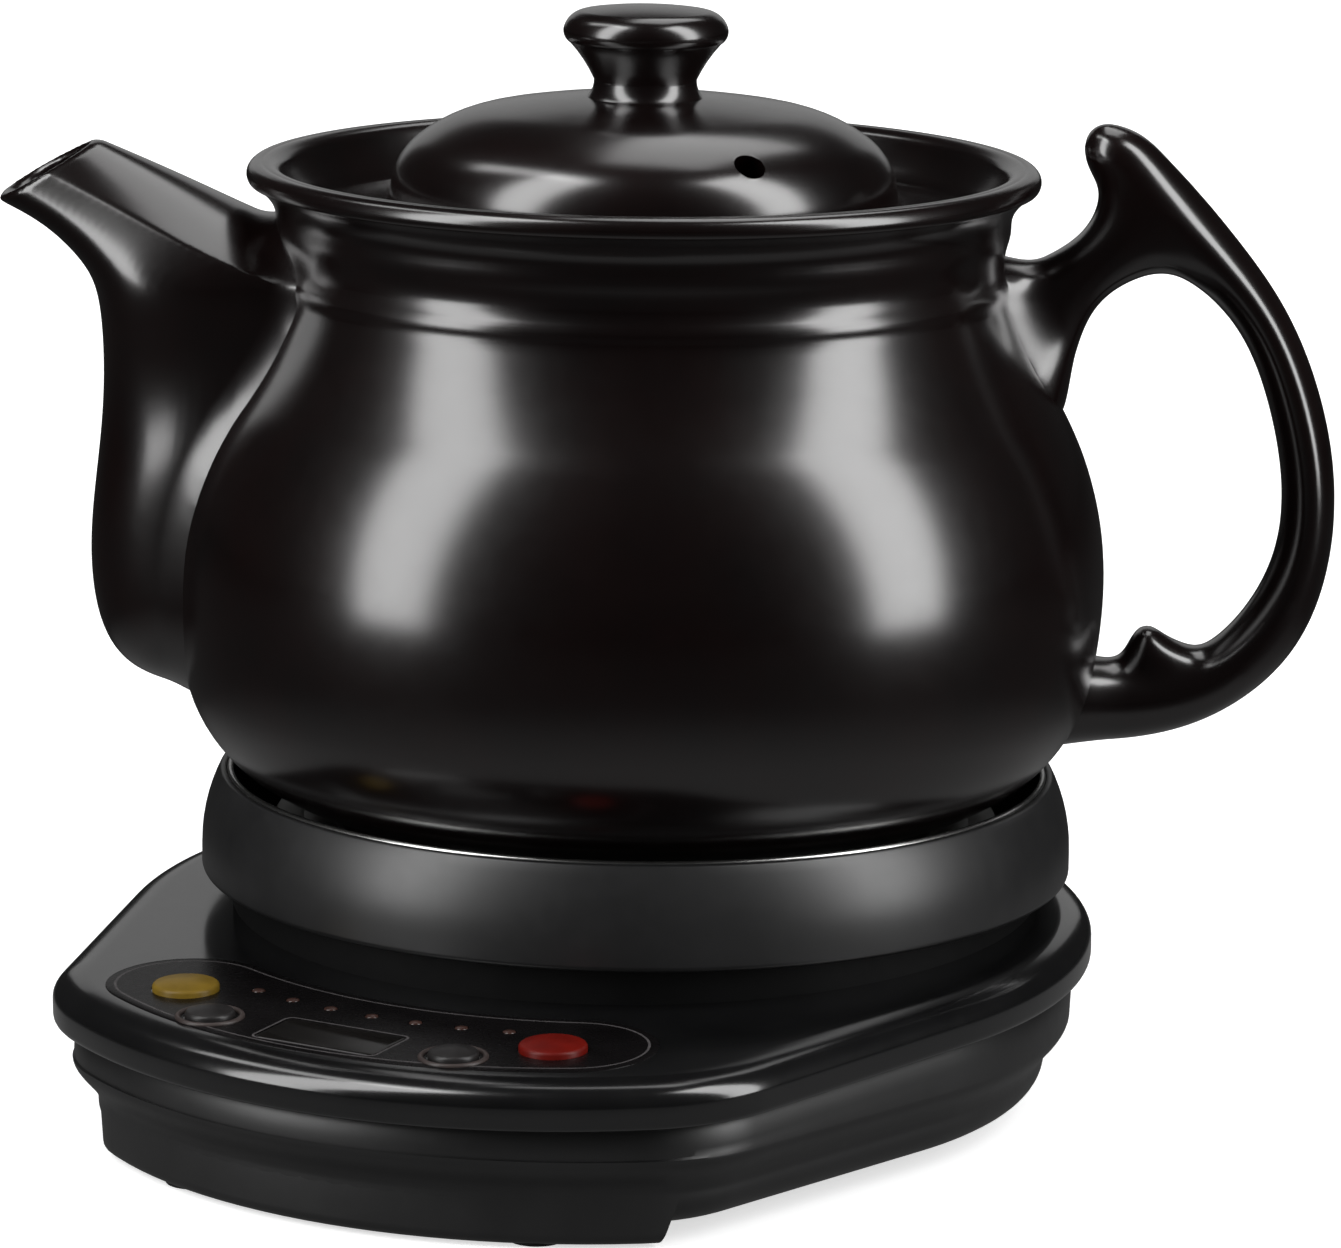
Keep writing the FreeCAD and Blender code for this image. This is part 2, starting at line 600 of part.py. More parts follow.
def add_rail_outline(sketch, inset):
    """Front part of the base's outline, closed by a straight line across."""
    front = dim.front_radius - inset
    corner = dim.corner_radius - inset
    share = front / front_gap
    nose_x = dim.corner_shift * share
    nose_y = -(front_centre + (corner_forward - front_centre) * share)
    beyond = corner * dim.rail_share
    rail_start = corner_forward + beyond
    end_x = dim.corner_shift + root(corner * corner - beyond * beyond)
    close_loop(sketch, [
        (-end_x, -rail_start, corner),
        (-nose_x, nose_y, front),
        (nose_x, nose_y, corner),
        (end_x, -rail_start),
    ])


def add_panel_outline(sketch, inset):
    """Bean-shaped outline: two long arcs with round ends."""
    inset = as_size(inset)
    outer = dim.front_radius - dim.panel_inset
    inner = panel_inner
    toward = front_centre * cosine(dim.panel_spread)
    end = outer * outer - inner * inner - front_centre * front_centre + 2 * inner * toward
    end = end / (2 * (inner + outer - toward))
    outer_gap = outer - end
    inner_gap = inner + end
    forward = inner_gap * cosine(dim.panel_spread)
    across = inner_gap * sine(dim.panel_spread)
    outer_share = (outer - inset) / outer_gap
    inner_share = (inner + inset) / inner_gap
    outer_x = across * outer_share
    outer_y = -(front_centre + (forward - front_centre) * outer_share)
    inner_x = across * inner_share
    inner_y = -(forward * inner_share)
    close_loop(sketch, [
        (-outer_x, outer_y, outer - inset),
        (outer_x, outer_y, end - inset),
        (inner_x, inner_y, -(inner + inset)),
        (-inner_x, inner_y, end - inset),
    ])


def revolve(body, sketch):
    """Full turn about the sketch's upright axis."""
    feature = body.newObject("PartDesign::Revolution", sketch.Name + "_turn")
    feature.Profile = sketch
    feature.ReferenceAxis = (sketch, ["V_Axis"])
    feature.Angle = 360
    doc.recompute()
    return feature


def pad(body, sketch, length, reverse=False):
    """Raise a sketch along its normal."""
    feature = body.newObject("PartDesign::Pad", sketch.Name + "_pad")
    feature.Profile = sketch
    feature.Reversed = reverse
    feature.setExpression("Length", as_size(length).text)
    doc.recompute()
    return feature


def pocket(body, sketch, length, reverse=False, both=False):
    """Cut a sketch into the body, and make sure that it took something away."""
    before = body.Shape.Volume
    feature = body.newObject("PartDesign::Pocket", sketch.Name + "_cut")
    feature.Profile = sketch
    feature.Reversed = reverse
    feature.Midplane = both
    feature.setExpression("Length", as_size(length).text)
    doc.recompute()
    if not body.Shape.Volume < before:
        raise RuntimeError(f"{sketch.Name} cuts nothing")
    return feature


def round_face(body, feature, level, radius):
    """Round the outer edges of the flat face that lies nearest to a level on the pot's axis."""

    def distance(face):
        spot = face.CenterOfMass - body.Placement.Base
        normal = face.normalAt(0, 0)
        along = body.Placement.Rotation.multVec(Vector(0, 1, 0)).dot(spot)
        rise = -along * body.Placement.Rotation.inverted().multVec(normal).y / normal.z
        return abs(spot.z - rise - level.number)

    shape = feature.Shape
    flat = [face for face in shape.Faces if isinstance(face.Surface, Part.Plane)]
    flat = [face for face in flat if abs(face.normalAt(0, 0).z) > math.cos(math.radians(10))]
    outer = min(flat, key=distance).OuterWire.Edges
    names = [
        f"Edge{number}"
        for number, edge in enumerate(shape.Edges, start=1)
        if any(edge.isSame(other) for other in outer)
    ]
    fillet = body.newObject("PartDesign::Fillet", feature.Name + "_round")
    fillet.Base = (feature, names)
    fillet.setExpression("Radius", radius.text)
    doc.recompute()
    return fillet


def turned(label, corners, frame):
    """Piece of revolution from one closed outline of radius and height."""
    body = new_body(label, frame)
    sketch = new_sketch(body, label + "_outline", "XZ_Plane")
    close_loop(sketch, corners)
    revolve(body, sketch)
    return body


def move(piece, frame, x=0.0, y=0.0, z=0.0, rotation=None):
    """Stand a primitive at a place given in a frame."""
    spot = Vector(as_size(x).number, as_size(y).number, as_size(z).number)
    piece.Placement = frame.multiply(Placement(spot, rotation or Rotation()))
    return piece


def cuboid(name, frame, width, depth, height, x, y, z, angle=0.0):
    """Block whose bottom middle stands at x, y, z, turned about its own upright."""
    width, depth, height = as_size(width), as_size(depth), as_size(height)
    block = doc.addObject("Part::Box", name)
    block.setExpression("Length", width.text)
    block.setExpression("Width", depth.text)
    block.setExpression("Height", height.text)
    spin = Rotation(Vector(0, 0, 1), angle)
    corner = spin.multVec(Vector(-width.number / 2, -depth.number / 2, 0))
    return move(block, frame, as_size(x) + corner.x, as_size(y) + corner.y, z, spin)


def cylinder(name, frame, radius, height, x, y, z, rotation=None):
    """Round bar that starts at x, y, z."""
    bar = doc.addObject("Part::Cylinder", name)
    bar.setExpression("Radius", as_size(radius).text)
    bar.setExpression("Height", as_size(height).text)
    return move(bar, frame, x, y, z, rotation)


def fuse(name, members):
    """One solid from several that meet."""
    joined = doc.addObject("Part::MultiFuse", name)
    joined.Shapes = members
    return joined


def cut(name, base, tool):
    """One solid without another."""
    result = doc.addObject("Part::Cut", name)
    result.Base = base
    result.Tool = tool
    return result


def group(label, members):
    """Separate solids of the same kind in one piece."""
    compound = doc.addObject("Part::Compound", label)
    compound.Links = members
    return keep(compound, label)


def screw(name, frame, x, y, z, length, downward=False):
    """Pan-head screw: z is the seat of its head, and the shank goes up or down from there."""
    over = Rotation(Vector(1, 0, 0), 180 if downward else 0)
    way = -1 if downward else 1
    head = cylinder(name + "_head", frame, dim.screw_head, dim.screw_head_height,
                    x, y, as_size(z) - way * dim.screw_head_height, over)
    shank = cylinder(name + "_shank", frame, dim.screw_radius, length, x, y, z, over)
    return fuse(name, [head, shank])


def around(distance, angle):
    """Place on a circle about the pot's axis."""
    return distance * cosine(angle), distance * sine(angle)


def add_shape(name, shape, frame):
    """Free-form solid from the script's own curves."""
    feature = doc.addObject("Part::Feature", name)
    feature.Shape = shape
    feature.Placement = frame
    return feature


# Pot, spout and handle


def pot_outside():
    """Outline of the pot from under its foot to the inner edge of its rim."""
    side_radius = dim.belly_radius - dim.side_inset
    shoulder_radius = dim.belly_radius - dim.shoulder_inset
    ring_top = throat_height + dim.ring_height
    groove_top = ring_top + dim.groove_height
    rib_top = groove_top + dim.rib_height
    rim_level = rib_top + dim.flare_height
    return [
        (0, foot_level),
        (dim.foot_radius, foot_level),
        (dim.foot_radius, heel_height, dim.heel_curve),
        (side_radius, belly_height - dim.side_drop, tangent_curve(dim.side_drop, dim.side_inset)),
        (dim.belly_radius, belly_height, tangent_curve(dim.shoulder_rise, dim.shoulder_inset)),
        (shoulder_radius, belly_height + dim.shoulder_rise, -dim.throat_curve),
        (dim.throat_radius, throat_height, dim.ring_curve),
        (dim.groove_radius, ring_top, -dim.groove_curve),
        (dim.rib_radius, groove_top, dim.rib_curve),
        (dim.flare_radius, rib_top, -dim.flare_curve),
        (dim.rim_radius, rim_level, dim.rim_curve),
        (dim.rim_radius - dim.rim_width, rim_level + dim.rim_rise),
    ]


def pot_inside():
    """Outline of the funnel, the lid's gallery and the hollow, from the rim down to the floor."""
    wall = dim.pot_wall
    throat = dim.throat_radius - wall
    gallery_rim = gallery_height + dim.gallery_depth
    gallery_under = gallery_height - dim.gallery_thick
    shoulder = dim.belly_radius - dim.shoulder_inset - wall
    belly = dim.belly_radius - wall
    upper_curve = tangent_curve(dim.shoulder_rise, dim.shoulder_inset) - wall
    lower_curve = tangent_curve(dim.side_drop, dim.side_inset) - wall
    return [
        (dim.gallery_radius, gallery_rim),
        (dim.gallery_radius, gallery_height),
        (dim.mouth_radius, gallery_height),
        (dim.mouth_radius, gallery_under),
        (throat, gallery_under),
        (throat, throat_height),
        (shoulder, belly_height + dim.shoulder_rise, -upper_curve),
        (belly, belly_height, -lower_curve),
        (belly - dim.side_inset, belly_height - dim.side_drop, -(dim.heel_curve - wall)),
        (dim.foot_radius, heel_height + wall),
        (0, foot_level + dim.pot_floor),
    ]


def section(station, side, half_width):
    """Closed smooth curve through the two points of a station."""
    base_out = dim.belly_radius.number
    base_up = belly_height.number
    scale = station_scale
    near = Vector(side * (base_out + scale * station.out_near), 0, base_up + scale * station.up_near)
    far = Vector(side * (base_out + scale * station.out_far), 0, base_up + scale * station.up_far)
    middle = (near + far) * 0.5
    along = (far - near) * 0.5
    across = Vector(0, half_width, 0)
    power = 2 / station.squareness
    spots = []
    for step in range(SECTION_POINTS):
        angle = 2 * math.pi * step / SECTION_POINTS
        lengthwise = math.copysign(abs(math.cos(angle)) ** power, math.cos(angle))
        sideways = math.copysign(abs(math.sin(angle)) ** power, math.sin(angle))
        spots.append(middle + along * lengthwise + across * sideways)
    curve = Part.BSplineCurve()
    curve.interpolate(Points=spots, PeriodicFlag=True)
    return Part.Wire([curve.toShape()])


def loft(stations, side, width):
    """Smooth solid through stations."""
    return Part.makeLoft([section(item, side, width * item.width) for item in stations], True, False)


def narrowed(station, wall):
    """Station of the passage inside the spout, one wall in from the outside."""
    near = Vector(station.out_near, station.up_near, 0)
    far = Vector(station.out_far, station.up_far, 0)
    step = (far - near).normalize() * (wall / station_scale)
    near = near + step
    far = far - step
    width = station.width - wall / dim.spout_width.number
    return Station(near.x, near.y, far.x, far.y, width, station.squareness)


def spout_passage():
    """Passage from the strainer up to the mouth, drawn out past the mouth."""
    wall = dim.spout_wall.number
    inner = [narrowed(station, wall) for station in SPOUT_STATIONS[1:]]
    last = inner[-1]
    before = inner[-2]
    beyond = Station(
        2 * last.out_near - before.out_near,
        2 * last.up_near - before.up_near,
        2 * last.out_far - before.out_far,
        2 * last.up_far - before.up_far,
        last.width,
        last.squareness,
    )
    return loft(inner + [beyond], -1, dim.spout_width.number)


outside = pot_outside()
envelope = turned("pot_envelope", outside + [(0, outside[-1][1])], POT_FRAME)

kettle_body = turned("kettle_body", outside + pot_inside(), POT_FRAME)
strainer = new_sketch(kettle_body, "strainer_holes", "YZ_Plane")
add_circle(strainer, 0, strainer_height, dim.strainer_radius)
for angle in STRAINER_ANGLES:
    add_circle(strainer, dim.strainer_pitch * cosine(angle),
               strainer_height + dim.strainer_pitch * sine(angle), dim.strainer_radius)
pocket(kettle_body, strainer, dim.belly_radius + dim.pot_wall)
keep(kettle_body, "kettle_body")

spout_outer = add_shape("spout_outer", loft(SPOUT_STATIONS, -1, dim.spout_width.number), POT_FRAME)
passage = add_shape("spout_passage", spout_passage(), POT_FRAME)
keep(cut("spout", cut("spout_solid", spout_outer, envelope), passage), "spout")

handle_parts = [
    add_shape("grip", loft(GRIP_STATIONS, 1, dim.handle_width.number), POT_FRAME),
    add_shape("arm", loft(ARM_STATIONS, 1, dim.handle_width.number), POT_FRAME),
    add_shape("spur", loft(SPUR_STATIONS, 1, dim.handle_width.number), POT_FRAME),
]
keep(cut("handle", fuse("handle_solid", handle_parts), envelope), "handle")

# Lid and knob

skirt_outer = dim.mouth_radius - dim.lid_clearance
skirt_inner = skirt_outer - dim.skirt_wall
flange_radius = dim.gallery_radius - dim.lid_clearance
inner_crown = dim.crown_radius - dim.lid_wall
flange_top = lid_level + dim.lid_flange
lid = turned("lid", [
    (0, crown_centre + inner_crown, -inner_crown),
    (skirt_inner, crown_centre + root(inner_crown * inner_crown - skirt_inner * skirt_inner)),
    (skirt_inner, lid_level - dim.skirt_depth),
    (skirt_outer, lid_level - dim.skirt_depth),
    (skirt_outer, lid_level),
    (flange_radius, lid_level),
    (flange_radius, flange_top),
    (dim.lid_shoulder, flange_top + (flange_radius - dim.lid_shoulder) / 2, dim.lid_side_curve),
    (dim.crown_edge, crown_level, dim.crown_radius),
    (dim.knob_seat, knob_level),
    (0, knob_level),
], POT_FRAME)
vent = new_sketch(lid, "vent_hole", "XY_Plane", knob_level)
vent_x, vent_y = around(dim.vent_distance, dim.vent_angle)
add_circle(vent, vent_x, vent_y, dim.vent_radius)
pocket(lid, vent, knob_level - lid_level)
keep(lid, "lid")

knob = turned("lid_knob", [
    (0, knob_level),
    (dim.knob_seat, knob_level, -(dim.knob_seat - dim.knob_waist + dim.knob_waist_rise)),
    (dim.knob_waist, knob_level + dim.knob_waist_rise, -(dim.knob_neck_rise - dim.knob_waist_rise) * 4),
    (dim.knob_neck, knob_level + dim.knob_neck_rise, dim.knob_head_rise - dim.knob_neck_rise),
    (dim.knob_head, knob_level + dim.knob_head_rise, dim.knob_top_rise - dim.knob_head_rise + 1),
    (dim.knob_top, knob_level + dim.knob_top_rise,
     tangent_curve(dim.knob_top, dim.knob_crown_rise - dim.knob_top_rise)),
    (0, knob_level + dim.knob_crown_rise),
], POT_FRAME)
keep(knob, "lid_knob")

# Shells of the base

BIG = rear_radius + dim.front_reach
slope_rise = BIG * sine(dim.cover_slope) / cosine(dim.cover_slope)
boss_spots = [around(dim.boss_distance, angle) for angle in BOSS_ANGLES]
rear_face = rear_radius - dim.rear_shift

bottom = new_body("base_bottom_cover", BASE_FRAME)
lower = new_sketch(bottom, "lower_tier", "XY_Plane", dim.foot_height)
add_base_outline(lower, dim.lower_inset)
round_face(bottom, pad(bottom, lower, dim.lower_height), dim.foot_height, dim.lower_round)
rail_bottom = dim.foot_height - dim.rail_height
rail = new_sketch(bottom, "front_rail", "XY_Plane", rail_bottom)
add_rail_outline(rail, dim.lower_inset)
round_face(bottom, pad(bottom, rail, dim.rail_height + dim.lower_round), rail_bottom, dim.rail_round)
upper = new_sketch(bottom, "upper_tier", "XY_Plane", tier_height)
add_base_outline(upper, dim.upper_inset)
tier = pad(bottom, upper, dim.parting_height - tier_height + slope_rise)
round_face(bottom, tier, tier_height, dim.upper_round)
hollow = new_sketch(bottom, "lower_hollow", "XY_Plane", floor_top)
add_base_outline(hollow, dim.lower_inset + dim.shell_wall)
pocket(bottom, hollow, dim.parting_height + slope_rise, reverse=True)
hollow = new_sketch(bottom, "upper_hollow", "XY_Plane", tier_height + dim.shell_wall)
add_base_outline(hollow, dim.upper_inset + dim.shell_wall)
pocket(bottom, hollow, dim.parting_height + slope_rise, reverse=True)
wedge = new_sketch(bottom, "parting_line", "YZ_Plane")
close_loop(wedge, [
    (-BIG, dim.parting_height - slope_rise),
    (BIG, dim.parting_height + slope_rise),
    (BIG, dim.parting_height + 2 * slope_rise),
    (-BIG, dim.parting_height + 2 * slope_rise),
])
pocket(bottom, wedge, 2 * BIG, both=True)
seats = new_sketch(bottom, "boss_seats", "XY_Plane", dim.foot_height)
for x, y in boss_spots:
    add_circle(seats, x, y, dim.boss_seat_radius)
pad(bottom, seats, dim.boss_seat_height)
posts = new_sketch(bottom, "power_posts", "XY_Plane", dim.foot_height)
post_x = dim.power_width / 2 - dim.power_post_inset
post_y = dim.power_depth / 2 - dim.power_post_inset
power_spots = [(sx * post_x, dim.power_y + sy * post_y) for sx in (-1, 1) for sy in (-1, 1)]
for x, y in power_spots:
    add_circle(posts, x, y, dim.power_post_radius)
pad(bottom, posts, dim.power_height - dim.foot_height)
counterbore = new_sketch(bottom, "screw_recesses", "XY_Plane", dim.foot_height)
for x, y in boss_spots:
    add_circle(counterbore, x, y, dim.screw_head + dim.seat_gap)
pocket(bottom, counterbore, dim.shell_wall + dim.seat_gap, reverse=True)
holes = new_sketch(bottom, "screw_holes", "XY_Plane", dim.foot_height)
for x, y in boss_spots:
    add_circle(holes, x, y, dim.screw_radius + dim.screw_play)
pocket(bottom, holes, dim.boss_seat_height, reverse=True)
pilots = new_sketch(bottom, "power_screw_holes", "XY_Plane", dim.power_height)
for x, y in power_spots:
    add_circle(pilots, x, y, dim.screw_radius + dim.screw_play)
pocket(bottom, pilots, dim.board_screw_length)
opening = new_sketch(bottom, "inlet_opening", "XZ_Plane", -(rear_face - dim.inlet_depth))
add_rectangle(opening, as_size(0), dim.inlet_middle, dim.inlet_width + 2 * dim.inlet_play,
              dim.inlet_height + 2 * dim.inlet_play)
pocket(bottom, opening, dim.inlet_depth)
keep(bottom, "base_bottom_cover")

KEYS = (
    ("start_key", dim.key_x, key_y, dim.key_radius),
    ("mode_key", -dim.key_x, key_y, dim.key_radius),
    ("plus_key", dim.small_key_x, small_key_y, dim.small_key_radius),
    ("minus_key", -dim.small_key_x, small_key_y, dim.small_key_radius),
)
light_spread = (int(dim.light_count.number) - 1) / 2
light_spots = [
    around(light_distance, 270 + dim.light_step * (number - light_spread))
    for number in range(int(dim.light_count.number))
]
board_posts = [
    (side * x, -y)
    for side in (-1, 1)
    for x, y in ((dim.post_rear_x, post_rear_y), (dim.post_front_x, post_front_y))
]


def panel_openings(sketch):
    """Holes for keys, display window and lights, in the plane of the panel."""
    for _, x, y, radius in KEYS:
        add_circle(sketch, x, -y, radius + dim.key_play)
    add_rectangle(sketch, as_size(0), -small_key_y, dim.window_width + 2 * dim.key_play,
                  window_depth + 2 * dim.key_play)
    for x, y in light_spots:
        add_circle(sketch, x, y, dim.light_radius + dim.panel_play)


def sloped(body, name, depth, on_panel=True):
    """Sketch parallel to the sloping top of the cover, at a height from that top."""
    depth = as_size(depth)
    rotation = SLOPE.multiply(PANEL_TURN) if on_panel else SLOPE
    sketch = new_sketch(body, name, "XY_Plane", cover_top + depth * cosine(dim.cover_slope), rotation)
    sketch.setExpression("AttachmentOffset.Base.y", (-depth * sine(dim.cover_slope)).text)
    doc.recompute()
    return sketch


cover = new_body("base_top_cover", BASE_FRAME)
lip = sloped(cover, "cover_outline", -dim.lip_height, on_panel=False)
add_base_outline(lip, 0)
plate = pad(cover, lip, dim.lip_height)
plate = round_face(cover, plate, cover_top, dim.lip_round)
plate = round_face(cover, plate, dim.parting_height, dim.lip_under_round)
hollow = sloped(cover, "cover_hollow", -dim.lip_height, on_panel=False)
add_base_outline(hollow, dim.lip_width)
pocket(cover, hollow, dim.lip_height - dim.shell_wall, reverse=True)
pedestal = new_sketch(cover, "pedestal", "XY_Plane", dim.pedestal_top - dim.pedestal_depth)
add_circle(pedestal, 0, 0, pedestal_radius)
pad(cover, pedestal, dim.pedestal_depth)
well = new_sketch(cover, "pedestal_hollow", "XY_Plane", dim.pedestal_top - dim.shell_wall)
add_circle(well, 0, 0, pedestal_radius - dim.shell_wall)
pocket(cover, well, dim.pedestal_depth)
bosses = new_sketch(cover, "screw_bosses", "XY_Plane", dim.foot_height + dim.boss_seat_height)
for x, y in boss_spots:
    add_circle(bosses, x, y, dim.boss_radius)
pad(cover, bosses, dim.pedestal_top - dim.foot_height - dim.boss_seat_height - dim.shell_wall / 2)
pilots = new_sketch(cover, "boss_pilots", "XY_Plane", dim.foot_height + dim.boss_seat_height)
for x, y in boss_spots:
    add_circle(pilots, x, y, dim.screw_radius + dim.screw_play)
pocket(cover, pilots, dim.cover_screw_length, reverse=True)
heater_hole = new_sketch(cover, "heater_hole", "XY_Plane", dim.pedestal_top)
add_circle(heater_hole, 0, 0, dim.heater_hole)
heater_screw_spots = [around(dim.heater_screw_distance, angle) for angle in HEATER_SCREW_ANGLES]
for x, y in heater_screw_spots:
    add_circle(heater_hole, x, y, dim.screw_radius + dim.screw_play)
pocket(cover, heater_hole, dim.shell_wall)
recess = sloped(cover, "panel_recess", 0)
add_panel_outline(recess, -dim.panel_play)
pocket(cover, recess, dim.panel_recess)
openings = sloped(cover, "panel_openings", 0)
panel_openings(openings)
pocket(cover, openings, dim.shell_wall + dim.panel_recess)
carriers = sloped(cover, "board_posts", board_top)
for x, y in board_posts:
    add_circle(carriers, x, y, dim.post_radius)
pad(cover, carriers, -board_top - (dim.shell_wall + dim.panel_recess) / 2)
pilots = sloped(cover, "post_pilots", board_top)
for x, y in board_posts:
    add_circle(pilots, x, y, dim.screw_radius + dim.screw_play)
pocket(cover, pilots, dim.board_screw_length, reverse=True)
keep(cover, "base_top_cover")

group("cover_screws", [
    screw(f"cover_screw_{number}", BASE_FRAME, x, y, floor_top + dim.seat_gap, dim.cover_screw_length)
    for number, (x, y) in enumerate(boss_spots, start=1)
])

feet = []
for name, side in (("left", -1), ("right", 1)):
    feet.append(cylinder(f"rubber_foot_{name}", BASE_FRAME, dim.rubber_radius, dim.foot_height,
                         side * dim.foot_rear_x, dim.foot_rear_y, 0))
    feet.append(cylinder(f"rubber_pad_{name}", BASE_FRAME, dim.pad_radius, dim.foot_height - dim.rail_height,
                         side * dim.foot_front_x, -pad_y, 0))
group("rubber_feet", feet)

# Collar and heater

collar_top = dim.pedestal_top + dim.collar_height
collar_curve_rise = dim.collar_height - dim.collar_straight - dim.collar_edge_round
curl_radius = collar_radius - dim.collar_curl
lip_inner = curl_radius - dim.collar_edge_round
wall_foot = collar_radius - dim.collar_wall - dim.seat_gap
keep(turned("heater_collar", [
    (collar_radius - dim.collar_floor_width, dim.pedestal_top),
    (collar_radius - dim.collar_edge_round, dim.pedestal_top, dim.collar_edge_round),
    (collar_radius, dim.pedestal_top + dim.collar_edge_round),
    (collar_radius, dim.pedestal_top + dim.collar_edge_round + dim.collar_straight,
     tangent_curve(collar_curve_rise, dim.collar_curl)),
    (curl_radius, collar_top),
    (lip_inner, collar_top),
    (lip_inner + dim.collar_wall, collar_top - collar_curve_rise / 2),
    (wall_foot, dim.pedestal_top + dim.collar_floor),
    (collar_radius - dim.collar_floor_width, dim.pedestal_top + dim.collar_floor),
], BASE_FRAME), "heater_collar")

trim_radius = lip_inner - dim.trim_gap
trim_slant = dim.collar_wall * dim.trim_height / (collar_curve_rise / 2)
keep(turned("collar_trim", [
    (trim_radius + trim_slant - dim.trim_thick, collar_top - dim.trim_height),
    (trim_radius + trim_slant, collar_top - dim.trim_height),
    (trim_radius, collar_top),
    (trim_radius - dim.trim_thick, collar_top),
], BASE_FRAME), "collar_trim")

clip_radius = collar_radius - dim.clip_inset
CLIP_DIRECTIONS = (dim.clip_angle, 180 - dim.clip_angle, 180 + dim.clip_angle, 360 - dim.clip_angle)
clips = []
for number, direction in enumerate(CLIP_DIRECTIONS, start=1):
    x, y = around(clip_radius + dim.clip_thick / 2, direction)
    clips.append(cuboid(f"locating_clip_{number}", POT_FRAME, dim.clip_thick, dim.clip_width, dim.clip_height,
                        x, y, dim.pedestal_top + dim.collar_floor, direction.number))
group("locating_clips", clips)

keep(turned("heating_plate", [
    (dim.plate_hole, plate_under),
    (dim.plate_radius, plate_under),
    (dim.plate_radius, plate_top),
    (dim.plate_hole, plate_top),
], BASE_FRAME), "heating_plate")

terminal_spots = [(side * dim.terminal_x, dim.terminal_y) for side in (-1, 1)]
element = turned("heating_element", [
    (dim.element_inner, plate_under - dim.element_thick),
    (dim.element_outer, plate_under - dim.element_thick),
    (dim.element_outer, plate_under),
    (dim.element_inner, plate_under),
], BASE_FRAME)
terminals = new_sketch(element, "element_terminals", "XY_Plane", plate_under - dim.element_thick)
for x, y in terminal_spots:
    add_circle(terminals, x, y, dim.terminal_radius)
pad(element, terminals, dim.terminal_length, reverse=True)
keep(element, "heating_element")

reflector = turned("heat_reflector", [
    (dim.reflector_hole, dim.pedestal_top),
    (dim.reflector_radius, dim.pedestal_top),
    (dim.reflector_radius, reflector_top),
    (dim.reflector_hole, reflector_top),
], BASE_FRAME)
clearances = new_sketch(reflector, "reflector_holes", "XY_Plane", reflector_top)
for x, y in terminal_spots:
    add_circle(clearances, x, y, dim.terminal_radius + dim.terminal_clearance)
for x, y in heater_screw_spots:
    add_circle(clearances, x, y, dim.screw_radius + dim.screw_play)
pocket(reflector, clearances, dim.reflector_thick)
keep(reflector, "heat_reflector")

supports = []
for number, angle in enumerate(SUPPORT_ANGLES, start=1):
    x, y = around(dim.support_distance, angle)
    supports.append(cuboid(f"plate_support_{number}", BASE_FRAME, dim.support_depth, dim.support_width,
                           plate_under - reflector_top, x, y, reflector_top, angle))
group("plate_supports", supports)

group("heater_screws", [
    screw(f"heater_screw_{number}", BASE_FRAME, x, y, reflector_top, dim.heater_screw_length, downward=True)
    for number, (x, y) in enumerate(heater_screw_spots, start=1)
])

guide_inner = dim.plunger_radius + dim.guide_clearance
guide_outer = guide_inner + dim.guide_wall
flange_seat = reflector_top + dim.guide_flange_thick
keep(turned("sensor_guide", [
    (guide_inner, reflector_top - dim.guide_below),
    (guide_outer, reflector_top - dim.guide_below),
    (guide_outer, reflector_top),
    (dim.guide_flange, reflector_top),
    (dim.guide_flange, flange_seat),
    (guide_outer, flange_seat),
    (guide_outer, flange_seat + dim.guide_above),
    (guide_inner, flange_seat + dim.guide_above),
], BASE_FRAME), "sensor_guide")

sensor_top = foot_level - dim.seat_gap
cap_under = sensor_top - dim.plunger_cap_height
keep(turned("sensor_plunger", [
    (0, cap_under - dim.plunger_length),
    (dim.plunger_radius, cap_under - dim.plunger_length),
    (dim.plunger_radius, cap_under),
    (dim.plunger_cap, cap_under),
    (dim.plunger_cap, sensor_top - dim.plunger_bevel),
    (dim.plunger_cap - dim.plunger_bevel, sensor_top),
    (0, sensor_top),
], BASE_FRAME), "sensor_plunger")


def half_turn(number):
    """Half a turn of the spring's wire, tilted so that the next one carries on from its end."""
    rise = (spring_high - spring_low) / (2 * dim.spring_turns)
    radius = guide_outer + dim.guide_clearance + dim.spring_wire
    way = 1 if number % 2 == 0 else -1
    wire = doc.addObject("Part::Torus", f"spring_half_turn_{number + 1}")
    wire.setExpression("Radius1", root(radius * radius + rise * rise / 4).text)
    wire.setExpression("Radius2", dim.spring_wire.text)
    wire.Angle3 = 180
    tilt = Rotation(Vector(0, 1, 0), math.degrees(math.atan2(way * rise.number, 2 * radius.number)))
    turn_back = Rotation(Vector(0, 0, 1), 0 if way > 0 else 180)
    return move(wire, BASE_FRAME, 0, 0, spring_low + rise * (number + 0.5), tilt.multiply(turn_back))


spring_low = flange_seat + dim.spring_wire + dim.seat_gap / 2
spring_high = cap_under - dim.spring_wire - dim.seat_gap / 2
half_turns = int(2 * dim.spring_turns.number)
keep(fuse("sensor_spring", [half_turn(number) for number in range(half_turns)]), "sensor_spring")

keep(cylinder("thermal_cutout", BASE_FRAME, dim.cutout_radius, plate_under - reflector_top,
              0, -dim.cutout_distance, reflector_top), "thermal_cutout")

# Panel, keys and control board

panel = new_body("control_panel", COVER_FRAME)
sheet_outline = new_sketch(panel, "panel_outline", "XY_Plane", -dim.panel_recess)
add_panel_outline(sheet_outline, 0)
pad(panel, sheet_outline, dim.panel_thick)
openings = new_sketch(panel, "panel_holes", "XY_Plane", panel_top)
panel_openings(openings)
pocket(panel, openings, dim.panel_thick)
keep(panel, "control_panel")

